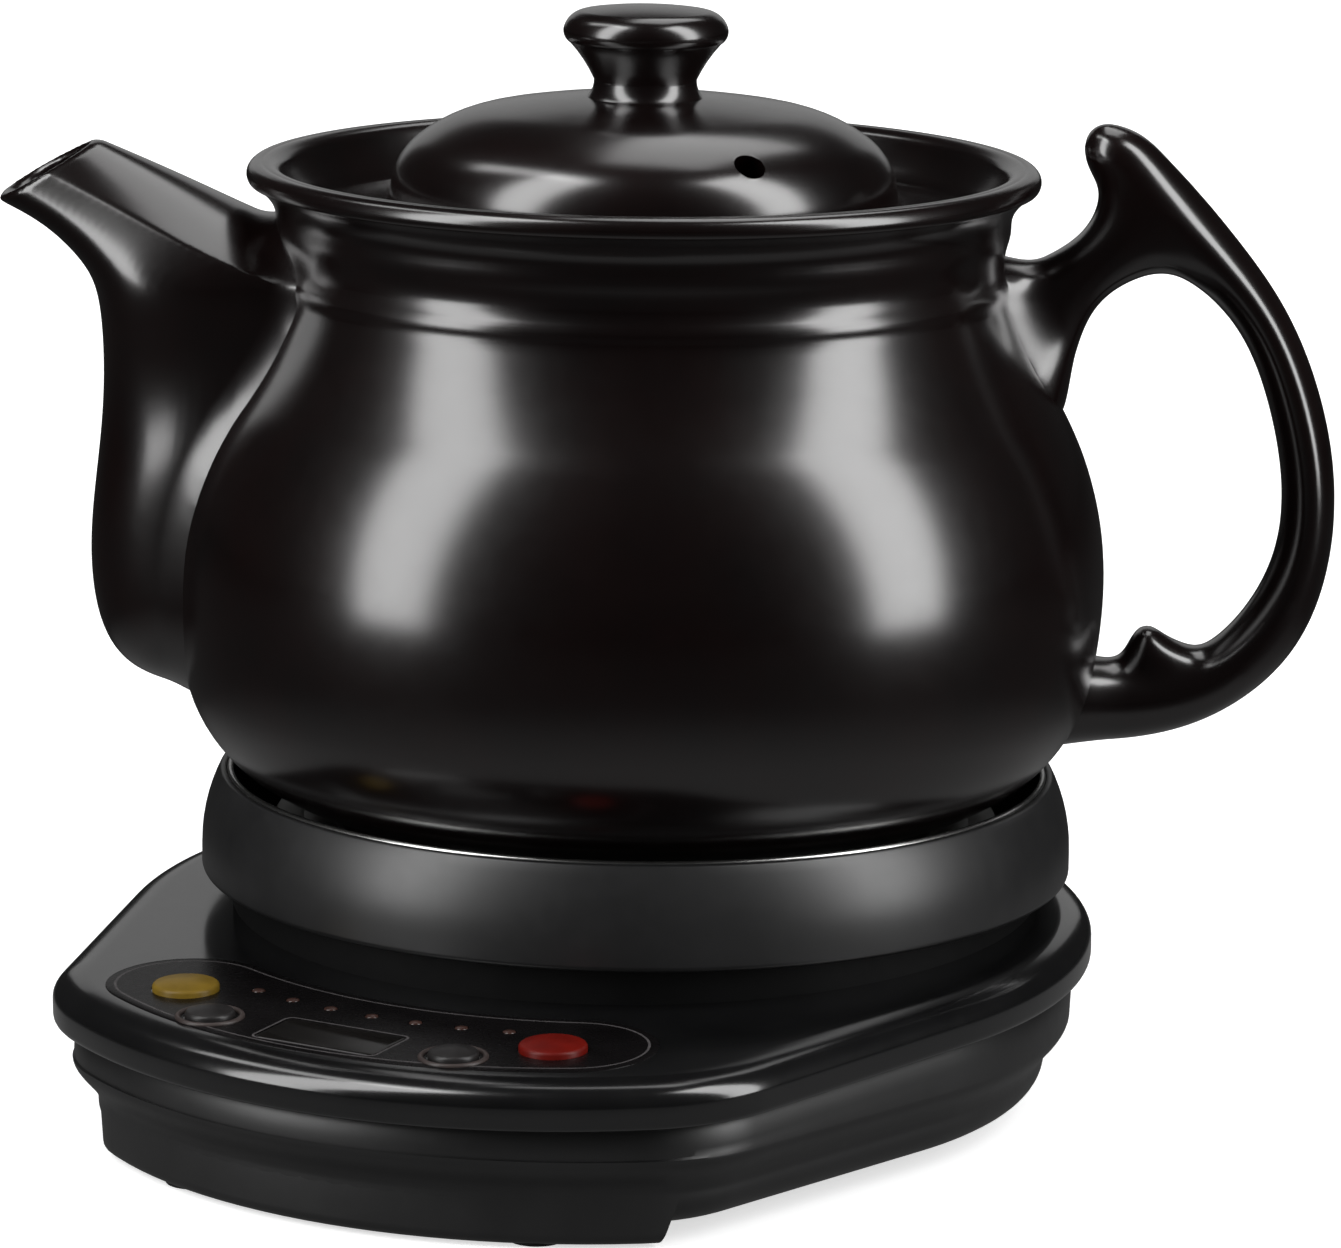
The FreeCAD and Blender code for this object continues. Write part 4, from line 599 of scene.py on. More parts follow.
LIGHT_CLEAR = Finish("light_clear", (0.03, 0.014, 0.011), (0.05, 0.024, 0.019), (0.15, 0.25),
                     500.0, (1500.0, 0.01, 0.06), coat=0.1)
LEAD_SLEEVE = Finish("lead_sleeve", (0.42, 0.4, 0.36), (0.55, 0.53, 0.48), (0.5, 0.6),
                     160.0, (2600.0, 0.08, 0.35))
RIBBON_GREY = Finish("ribbon_grey", (0.3, 0.3, 0.31), (0.4, 0.4, 0.41), (0.45, 0.55),
                     160.0, (900.0, 0.06, 0.3), (1.0, 0.1, 0.1))


class Tree(Nodes):
    """Geometry node tree that ends in realised instances of one material."""

    def __init__(self, name: str, *sizes: str) -> None:
        """Start a tree with a mesh, named sizes and a material as its inputs.

        Args:
            name: Name of the tree.
            sizes: Names of the sizes.
        """
        super().__init__(bpy.data.node_groups.new(name, "GeometryNodeTree"))
        face = self.tree.interface
        kinds = {"Geometry": "Geometry", **dict.fromkeys(sizes, "Float"), "Material": "Material"}
        for label, kind in kinds.items():
            face.new_socket(label, in_out="INPUT", socket_type="NodeSocket" + kind)
        face.new_socket("Geometry", in_out="OUTPUT", socket_type="NodeSocketGeometry")
        self.given = self.add("NodeGroupInput").outputs

    def vector(self, **axes: object) -> Node:
        """Vector of values, sockets or nodes along X, Y and Z."""
        return self.add("ShaderNodeCombineXYZ", axes)

    def rod(self, radius: str, length: str) -> Node:
        """Cylinder about Z with two of the tree's own sizes."""
        sizes = {"Vertices": ROD_SIDES, "Radius": self.given[radius], "Depth": self.given[length]}
        return self.add("GeometryNodeMeshCylinder", sizes)

    def move(self, shape: Node, **settings: object) -> Node:
        """Shape with a Translation, Rotation or Scale."""
        return self.add("GeometryNodeTransform", {"Geometry": shape, **settings})

    def join(self, *shapes: Node) -> Node:
        """Several shapes as one."""
        return self.add("GeometryNodeJoinGeometry", {0: list(shapes)})

    def cut(self, shape: object, tool: Node, **settings: object) -> Node:
        """Shape without a tool."""
        inputs = {"Mesh 1": shape, "Mesh 2": tool, **settings}
        return self.add("GeometryNodeMeshBoolean", inputs, operation="DIFFERENCE", solver="EXACT")

    def scatter(self, points: object, shape: Node, **settings: object) -> Node:
        """Shape set on each point."""
        return self.add("GeometryNodeInstanceOnPoints", {"Points": points, "Instance": shape, **settings})

    def grow(self, result: Node, piece: Piece, finish: Finish, **sizes: float) -> Piece:
        """End the tree, run it on a piece and keep the outcome as its mesh.

        Args:
            result: Node that the tree ends with.
            piece: Object whose mesh the tree starts from.
            finish: Finish of the outcome.
            sizes: Values of the named inputs, in metres, radians or counts.

        Returns:
            The same piece.
        """
        solid = self.add("GeometryNodeRealizeInstances", {"Geometry": result})
        finish_in = self.given["Material"]
        dressed = self.add("GeometryNodeSetMaterial", {"Geometry": solid, "Material": finish_in})
        self.add("NodeGroupOutput", {"Geometry": dressed})
        growth = piece.modifiers.new("growth", "NODES")
        growth.node_group = self.tree
        values: dict[str, object] = {name.replace("_", " "): value for name, value in sizes.items()}
        values["Material"] = finish.material()
        for item in self.tree.interface.items_tree:
            if item.in_out == "INPUT" and item.name in values:
                growth[item.identifier] = values[item.name]
        bake(piece)
        finish.dress(piece)
        piece.data.polygons.foreach_set("material_index", np.zeros(len(piece.data.polygons), np.int32))
        smooth(piece.data)
        return piece


def fit(piece: Piece, node: str, body: str, finish: Finish | None = None) -> Piece:
    """Dress a piece, stand it in for a node and let it ride on a body.

    Args:
        piece: Piece with its place in its mesh.
        node: Node that it stands in for.
        body: Body that it rides on.
        finish: Finish of the whole piece, unless it already has its own.

    Returns:
        The same piece.
    """
    if finish:
        finish.dress(piece)
    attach(piece, body)
    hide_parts(node)
    LOG.info("piece %s: %d faces on %s", piece.name, len(piece.data.polygons), body)
    return piece


# Pot


@dataclass(frozen=True)
class Pot:
    """Turned ceramic pot with a ribbed neck, a flared rim, a ledge for the lid and a strainer."""

    outside: Corners = (
        (0.0, 58.3), (66.0, 58.3), (66.0, 63.8, 33.0), (98.08, 89.7, 103.96), (100.5, 112.0, 75.33),
        (89.8, 150.7, -100.0), (78.3, 174.5, 2.5), (77.6, 178.6, -14.0), (78.0, 185.0, 8.0),
        (78.6, 190.6, -11.0), (84.5, 197.0, 2.6), (81.6, 201.0, 3.2),
    )
    inside: Corners = (
        (77.6, 198.4, -26.0), (73.6, 191.6, -3.0), (70.6, 189.6), (56.0, 189.0), (49.0, 189.0),
        (49.0, 183.0), (72.3, 183.0), (72.3, 174.5), (83.8, 150.7, -69.33), (94.5, 112.0, -97.96),
        (92.08, 89.7, -27.0), (66.0, 69.8), (0.0, 66.8),
    )
    edge_round: float = 0.7
    neck_low: float = 164.0
    neck_high: float = 194.0
    neck_blend: float = 1.2
    neck_step: float = 0.4
    neck_fade: float = 6.0
    neck_keep: int = 3
    belly_radius: float = 100.5
    belly_height: float = 112.0
    strainer_height: float = 132.0
    strainer_pitch: float = 10.0
    strainer_radius: float = 3.0
    strainer_ring: int = 6
    strainer_share: float = 0.5

    def softened(self) -> np.ndarray:
        """Outside with the ring, groove and rib of the neck run into each other, as glaze does.

        Returns:
            Rows of radius and height from the foot to the rim.
        """
        rows = trace(self.outside)
        steps = np.concatenate([[0.0], np.cumsum(np.hypot(*np.diff(rows, axis=0).T))])
        even = np.arange(0.0, steps[-1], self.neck_step)
        fine = np.column_stack([np.interp(even, steps, rows[:, axis]) for axis in (0, 1)])
        neck = np.flatnonzero((fine[:, 1] > self.neck_low) & (fine[:, 1] < self.neck_high))
        weights = np.exp(-0.5 * ((even[neck][:, None] - even[None, :]) / self.neck_blend) ** 2)
        soft = weights @ fine / weights.sum(1, keepdims=True)
        count = np.arange(len(neck))
        share = np.clip(np.minimum(count, count[::-1]) / self.neck_fade, 0.0, 1.0)[:, None]
        band = (fine[neck] * (1 - share) + soft * share)[::self.neck_keep]
        low, high = rows[rows[:, 1] <= self.neck_low], rows[rows[:, 1] >= self.neck_high]
        return np.concatenate([low, band, high])

    def reach(self, heights: np.ndarray) -> np.ndarray:
        """Outside radius at given heights, and zero above the rim and below the foot.

        Args:
            heights: Heights in the pot's frame.

        Returns:
            One radius for each height.
        """
        rows = self.softened()[1:]
        rows = rows[:np.argmax(rows[:, 1] > self.outside[-2][1])]
        return np.interp(heights, rows[:, 1], rows[:, 0], left=0.0, right=0.0)

    def pierce(self, pot: Piece) -> Piece:
        """Cut the strainer with a tree: one hole in the middle of a ring of six.

        Args:
            pot: Pot without its strainer.

        Returns:
            The same pot.
        """
        tree = Tree("strainer", "Hole Radius", "Pitch", "Height", "Length", "Axis X", "Axis Y")
        given = tree.given
        ring = tree.add("GeometryNodeMeshCircle", {
            "Vertices": self.strainer_ring, "Radius": given["Pitch"]})
        middle = tree.add("GeometryNodeMeshLine", {"Count": 1})
        drills = tree.scatter(tree.join(ring, middle), tree.rod("Hole Radius", "Length"))
        spot = tree.vector(X=given["Axis X"], Y=given["Axis Y"], Z=given["Height"])
        laid = tree.move(drills, Translation=spot, Rotation=(0.0, QUARTER_TURN, 0.0))
        solid = tree.add("GeometryNodeRealizeInstances", {"Geometry": laid})
        return tree.grow(
            tree.cut(given["Geometry"], solid), pot, GLAZE, Hole_Radius=self.strainer_radius * MM,
            Pitch=self.strainer_pitch * MM, Height=self.strainer_height * MM,
            Length=self.strainer_share * self.belly_radius * MM, Axis_X=(AXIS.x - self.belly_radius) * MM,
            Axis_Y=AXIS.y * MM)

    def dress(self) -> None:
        """Build the pot and fit it."""
        inside = trace((self.outside[-1], *self.inside))[1:]
        outline = np.concatenate([self.softened(), inside])
        pot = bevel(turned("kettle_body_ceramic", outline, Stand.POT), self.edge_round)
        fit(self.pierce(pot), "kettle_body", "kettle", GLAZE)


@dataclass(frozen=True)
class Limb:
    """Smooth limb that is luted to one side of the pot, along sections.

    A section is a near and a far point of the middle plane, outwards from the belly and upwards from its
    height, then a share of the half width, a squareness and, if it isn't halfway, the place of its ridge.
    """

    pot: Pot
    side: int = 1
    half_width: float = 10.0
    voxel: float = 0.5
    relax: int = 7
    rings: int = 84
    points: int = 96
    knot_gap: float = 1.0
    ridge_middle: float = 0.5
    crown_power: float = 2.3
    seam_depth: float = 3.6
    seam_reach: float = 4.6
    seam_width: Corner = (1.5, 1.5)
    seam_band: Corner = (-10.0, 20.0)
    seam_power: float = 1.7
    seam_sink: float = 0.5
    seam_rounds: int = 30
    seam_top: float = 99.0
    seam_fade: float = 6.0
    slope_step: float = 0.5
    slope_limit: float = 3.0
    spread_least: float = 0.3
    outside_reach: float = 99.0

    def sections(self, stations: Corners) -> np.ndarray:
        """Stations as rows of seven values, with the ridge halfway where none is given."""
        return np.array([(*station, self.ridge_middle)[:7] for station in stations])

    def loops(self, rows: np.ndarray, crowned: bool = False) -> np.ndarray:
        """Closed loops of points along sections, in the pot's frame.

        Args:
            rows: Sections in order.
            crowned: Whether the upper part is a crown between two ridges.

        Returns:
            Array of loops, points and x, y, z.
        """
        middles = (rows[:, 0:2] + rows[:, 2:4]) / 2
        knots = np.concatenate([[0.0], np.cumsum(np.hypot(*np.diff(middles, axis=0).T) + self.knot_gap)])
        angles = np.arange(self.points) * FULL_TURN / self.points
        cosine, sine = np.cos(angles), np.sin(angles)
        result = []
        for row in spline(knots, rows, np.linspace(0.0, knots[-1], self.rings)):
            near, far = row[0:2], row[2:4]
            width, squareness, ridge = row[4:]
            along = np.sign(cosine) * np.abs(cosine) ** (2 / squareness)
            across = np.sign(sine) * np.abs(sine) ** (2 / squareness)
            if crowned:
                shift = 2 * ridge - 1
                crown = (1 + shift) * (np.abs(sine) ** self.crown_power - 1)
                along = shift + np.where(cosine < 0, crown, (1 - shift) * along)
                across = np.where(cosine < 0, sine, across)
            out, up = ((near + far) / 2)[:, None] + ((far - near) / 2)[:, None] * along
            result.append(np.column_stack([
                self.side * (self.pot.belly_radius + out), self.half_width * width * across,
                self.pot.belly_height + up]))
        return np.array(result)

    def hold_off(self, points: np.ndarray, depth: float) -> np.ndarray:
        """Push points out of the pot, to a depth under its outside.

        Args:
            points: Points in the pot's frame.
            depth: How far under the outside they may lie.

        Returns:
            The moved points.
        """
        flat = np.hypot(points[..., 0], points[..., 1])
        least = self.pot.reach(points[..., 2]) - depth
        share = np.where(flat < least, least / np.maximum(flat, TINY), 1.0)
        return points * np.stack([share, share, np.ones_like(share)], axis=-1)

    def grow(self, piece: Piece) -> Piece:
        """Grow the shells of a limb together, soften it and flare it at the pot.

        Args:
            piece: Limb of one or more shells.

        Returns:
            The same limb.
        """
        modify(piece, "REMESH", mode="VOXEL", voxel_size=self.voxel * MM)
        modify(piece, "SMOOTH", factor=SOFTENING, iterations=self.relax)
        band = piece.vertex_groups.new(name="seam")
        band.add(self.seam(piece).tolist(), 1.0, "REPLACE")
        modify(piece, "SMOOTH", factor=SOFTENING, iterations=self.seam_rounds, vertex_group=band.name)
        piece.vertex_groups.clear()
        smooth(piece.data)
        return piece

    def seam(self, piece: Piece) -> np.ndarray:
        """Flare a limb where it meets the pot, as slip fills the corner.

        Args:
            piece: Limb to flare.

        Returns:
            Numbers of the points near the pot.
        """
        vertices = piece.data.vertices
        points, normals = np.empty((2, len(vertices) * 3))
        vertices.foreach_get("co", points)
        vertices.foreach_get("normal", normals)
        points = points.reshape(-1, 3) / MM - np.array(AXIS)
        normals = normals.reshape(-1, 3)
        height = points[:, 2]
        flat = np.hypot(points[:, 0], points[:, 1])
        above, below = self.pot.reach(height + self.slope_step), self.pot.reach(height - self.slope_step)
        slope = np.clip((above - below) / (2 * self.slope_step), -self.slope_limit, self.slope_limit)
        tilt = 1 / np.sqrt(1 + slope**2)
        radius = self.pot.reach(height)
        distance = np.where(radius > 0, (flat - radius) * tilt, self.outside_reach)
        away = np.column_stack([points[:, 0] / flat * tilt, points[:, 1] / flat * tilt, -slope * tilt])
        spread = normals - (normals * away).sum(1, keepdims=True) * away
        length = np.linalg.norm(spread, axis=1, keepdims=True)
        spread = np.where(length > self.spread_least, spread / np.maximum(length, TINY), 0.0)
        rise = height - self.pot.belly_height
        most = 1 + self.seam_sink * self.seam_depth / self.seam_reach
        share = np.clip(1 - distance / self.seam_reach, 0.0, most)
        share = share * np.clip((self.seam_top - rise) / self.seam_fade, 0.0, 1.0)
        flare = np.interp(rise, self.seam_band, self.seam_width) * share**self.seam_power
        points = points + spread * flare[:, None]
        vertices.foreach_set("co", ((points + np.array(AXIS)) * MM).ravel())
        piece.data.update()
        return np.flatnonzero(share > 0)


@dataclass(frozen=True)
class Spout(Limb):
    """Luted-on spout, hollow from the strainer to its mouth."""

    side: int = -1
    half_width: float = 29.0
    voxel: float = 0.75
    walls: Corner = (4.5, 4.5, 4.5, 4.5, 4.5, 4.0, 3.4, 3.1)
    lip: float = 1.8
    lip_rings: int = 7
    passage_gap: float = 0.2
    stations: Corners = (
        (-40.0, -14.0, -4.0, -26.5, 0.45, 2.0), (-40.0, 1.0, 9.6, -21.2, 0.78, 2.0),
        (-40.0, 20.0, 17.6, -4.0, 0.92, 2.2, 0.4), (-40.0, 42.0, 17.1, 18.5, 1.0, 2.4, 0.22),
        (-42.0, 66.5, 15.1, 42.0, 1.0, 2.7, 0.2), (-26.0, 74.0, 15.8, 58.3, 0.97, 3.0, 0.29),
        (-6.5, 82.6, 20.0, 68.0, 0.78, 3.1, 0.38), (7.6, 89.0, 29.0, 75.6, 0.58, 2.9, 0.45),
        (15.0, 92.2, 36.7, 79.4, 0.47, 2.5, 0.47),
    )

    def narrowed(self, rows: np.ndarray) -> np.ndarray:
        """Sections of the passage, one wall further in than the outside's.

        Args:
            rows: Sections of the outside.

        Returns:
            Sections of the passage.
        """
        walls = np.array(self.walls)
        near, far = rows[:, 0:2], rows[:, 2:4]
        step = (far - near) / np.hypot(*(far - near).T)[:, None] * walls[:, None]
        return np.column_stack([near + step, far - step, rows[:, 4] - walls / self.half_width, rows[:, 5:]])

    def dress(self) -> None:
        """Build the outside, the rounded lip and the passage as one shell and fit it."""
        rows = self.sections(self.stations)
        outer = self.loops(rows, True)
        inner = self.loops(self.narrowed(rows[1:]), True)
        mouth = (outer[-1] - outer[-2]).mean(0)
        mouth = mouth / np.linalg.norm(mouth)
        middle, half = (outer[-1] + inner[-1]) / 2, (outer[-1] - inner[-1]) / 2
        lips = []
        for step in range(1, self.lip_rings):
            angle = math.pi * step / self.lip_rings
            lips.append(middle + half * math.cos(angle) + mouth * self.lip * math.sin(angle))
        outer = self.hold_off(outer, self.seam_depth)
        inner = self.hold_off(inner[::-1], -self.passage_gap)
        first = self.hold_off(outer[0].mean(0, keepdims=True), self.seam_depth)
        last = self.hold_off(inner[-1].mean(0, keepdims=True), -self.passage_gap)
        loops = [first, *outer, *lips, *inner, last]
        spout = skin("spout_ceramic", [Stand.POT.place(loop) for loop in loops])
        fit(self.grow(spout), "spout", "kettle", GLAZE)


@dataclass(frozen=True)
class Handle(Limb):
    """Luted-on loop handle with a thumb horn above and a finger spur below."""

    half_width: float = 9.5
    relax: int = 240
    seam_reach: float = 9.0
    seam_width: Corner = (1.5, 3.2)
    seam_top: float = 76.0
    grip: Corners = (
        (-5.9, 97.6, -2.0, 99.4, 0.38, 2.0), (-6.9, 94.0, 3.7, 97.8, 0.76, 2.1),
        (-4.6, 87.0, 10.8, 92.5, 0.96, 2.0), (5.5, 75.5, 18.6, 84.5, 1.06, 1.7),
        (16.6, 65.5, 27.6, 74.0, 1.08, 1.65), (26.5, 55.6, 36.9, 61.2, 1.08, 1.65),
        (34.6, 37.7, 45.8, 41.4, 1.08, 1.65), (38.0, 16.8, 50.0, 17.6, 1.08, 1.65),
        (36.0, 3.8, 48.4, 0.0, 1.06, 1.7), (28.7, -9.1, 40.2, -18.0, 1.04, 1.9),
        (17.5, -17.4, 23.8, -30.6, 1.08, 2.3), (5.0, -18.8, 8.2, -35.2, 1.14, 2.3),
        (-12.0, -19.5, -12.0, -36.2, 1.18, 2.3),
    )
    arm: Corners = (
        (-19.0, 39.0, -28.0, 67.0, 1.12, 2.8), (-11.5, 38.6, -21.5, 67.4, 1.08, 2.8),
        (-6.8, 50.5, -14.4, 69.8, 1.0, 2.8), (-1.6, 61.0, -7.0, 74.6, 0.97, 2.8),
        (7.5, 66.2, -3.4, 80.8, 0.97, 2.6), (16.0, 65.4, -3.2, 86.5, 0.98, 2.6),
        (23.0, 60.8, -4.4, 91.0, 0.98, 2.6), (26.6, 64.0, -0.9, 94.0, 0.95, 2.5),
    )
    spur: Corners = (
        (1.5, -24.0, 26.0, -17.5, 0.84, 2.2), (4.0, -18.2, 20.5, -15.4, 0.86, 2.2),
        (5.9, -14.4, 14.8, -13.2, 0.74, 2.1), (7.2, -10.8, 11.5, -10.3, 0.5, 2.0),
    )

    def dress(self) -> None:
        """Build the three limbs, grow them together and fit them."""
        parts = []
        for stations in (self.grip, self.arm, self.spur):
            loops = self.hold_off(self.loops(self.sections(stations)), self.seam_depth)
            parts.append(skin("limb", [Stand.POT.place(loop) for loop in loops], capped=True))
        fit(self.grow(merge("handle_ceramic", parts)), "handle", "kettle", GLAZE)


@dataclass(frozen=True)
class Lid:
    """Domed lid with a vent hole, a locating skirt and a turned knob."""

    dome: Corners = (
        (0.0, 210.11, -125.0), (45.2, 201.65), (45.2, 183.3), (48.3, 183.3), (48.3, 189.3), (55.3, 189.3),
        (55.3, 193.3), (54.4, 194.0), (54.3, 196.0, 15.0), (48.5, 206.3, 33.7), (34.0, 212.7, 192.0),
        (0.0, 215.6),
    )
    knob: Corners = (
        (0.0, 214.6), (12.8, 214.9, -5.2), (11.0, 219.1, -31.2), (16.2, 226.9, 2.9), (17.6, 229.8, 4.9),
        (13.4, 233.7, 90.3), (0.0, 234.7),
    )
    edge_round: float = 0.7
    knob_round: float = 0.5
    vent_radius: float = 3.4
    vent_reach: float = 10.5
    vent_segments: int = 48
    vent_distance: float = 48.2
    vent_height: float = 206.5
    vent_lean: float = math.radians(37.0)
    vent_angle: float = math.radians(-63.0)

    def drill(self) -> Piece:
        """Cutter of the vent, square to the dome.

        Returns:
            The cutter.
        """
        radius, reach = self.vent_radius, self.vent_reach
        outline = np.array([(0.0, -reach), (radius, -reach), (radius, reach), (0.0, reach)])
        tool = turned("vent_drill", outline, Stand.POT, segments=self.vent_segments)
        middle = Stand.POT.matrix().translation * MM
        outwards = Matrix.Translation((self.vent_distance * MM, 0.0, 0.0))
        lean = Matrix.Rotation(self.vent_angle, 4, "Z") @ outwards @ Matrix.Rotation(self.vent_lean, 4, "Y")
        lift = Matrix.Translation((0.0, 0.0, self.vent_height * MM))
        tool.data.transform(Matrix.Translation(middle) @ lift @ lean @ Matrix.Translation(-middle))
        return tool

    def dress(self) -> None:
        """Build lid and knob and fit them."""
        dome = bevel(turned("lid_ceramic", trace(self.dome), Stand.POT), self.edge_round)
        fit(carve(dome, self.drill()), "lid", "lid_body", GLAZE)
        knob = bevel(turned("lid_knob_ceramic", trace(self.knob), Stand.POT), self.knob_round)
        fit(knob, "lid_knob", "lid_body", GLAZE)


# Base


@dataclass(frozen=True)
class BaseOutline:
    """Egg-shaped outline of the base: four arcs joined by two tangent lines."""

    rear_radius: float = 105.5
    rear_shift: float = 14.5
    front_radius: float = 118.0
    front_shift: float = 28.5
    corner_radius: float = 42.0
    corner_shift: float = 43.5
    rail_share: float = 0.654
    rear_steps: int = 96
    side_steps: int = 12
    corner_steps: int = 30
    front_steps: int = 60
    rail_steps: int = 24

    def corner_forward(self) -> float:
        """Centre of the front corners in front of the axis."""
        gap = self.front_radius - self.corner_radius
        return self.front_shift + math.sqrt(gap * gap - self.corner_shift**2)

    def points(self, inset: float) -> np.ndarray:
        """Outline moved in from the lip, always with the same number of points.

        Args:
            inset: Distance from the lip in millimetres.

        Returns:
            Rows of x and y; the front is at negative y.
        """
        shift, corner_y = self.corner_shift, -self.corner_forward()
        ahead = self.corner_forward() - self.rear_shift
        excess = self.rear_radius - self.corner_radius
        square = shift * shift + ahead * ahead
        reach = math.sqrt(square - excess * excess)
        side = np.array([excess * shift + reach * ahead, reach * shift - excess * ahead]) / square
        side_angle = math.atan2(side[1], side[0])
        nose_angle = math.atan2(self.front_shift + corner_y, shift)
        rear, corner, front = np.array([self.rear_radius, self.corner_radius, self.front_radius]) - inset
        rear_end = np.array([0.0, -self.rear_shift]) + side * MIRROR * rear
        front_end = np.array([-shift, corner_y]) + side * MIRROR * corner
        steps = np.arange(self.side_steps)[:, None] / self.side_steps
        half = math.pi
        return np.concatenate([
            arc((0.0, -self.rear_shift), rear, side_angle, half - side_angle, self.rear_steps),
            rear_end + (front_end - rear_end) * steps,
            arc((-shift, corner_y), corner, half - side_angle, half - nose_angle, self.corner_steps),
            arc((0.0, -self.front_shift), front, half - nose_angle, FULL_TURN + nose_angle,
                self.front_steps),
            arc((shift, corner_y), corner, nose_angle, side_angle, self.corner_steps),
            (front_end + (rear_end - front_end) * steps) * MIRROR,
        ])

    def rail(self, inset: float, forward: float) -> np.ndarray:
        """Front part of the outline, closed by a straight line across.

        Args:
            inset: Distance from the lip in millimetres.
            forward: How much later than usual it starts, as a share of the corner.

        Returns:
            Rows of x and y.
        """
        front, corner = self.front_radius - inset, self.corner_radius - inset
        share = front / (self.front_radius - self.corner_radius)
        nose_y = -(self.front_shift + (self.corner_forward() - self.front_shift) * share)
        nose = np.array([self.corner_shift * share, nose_y])
        beyond = corner * (self.rail_share + forward)
        end_x = self.corner_shift + math.sqrt(corner * corner - beyond * beyond)
        end = np.array([end_x, -(self.corner_forward() + beyond)])
        ends = (end * MIRROR, nose * MIRROR, nose, end)
        arcs = [bow(first, last, bend, self.rail_steps)
                for first, last, bend in zip(ends, ends[1:], (corner, front, corner))]
        return np.concatenate([*arcs, end[None]])


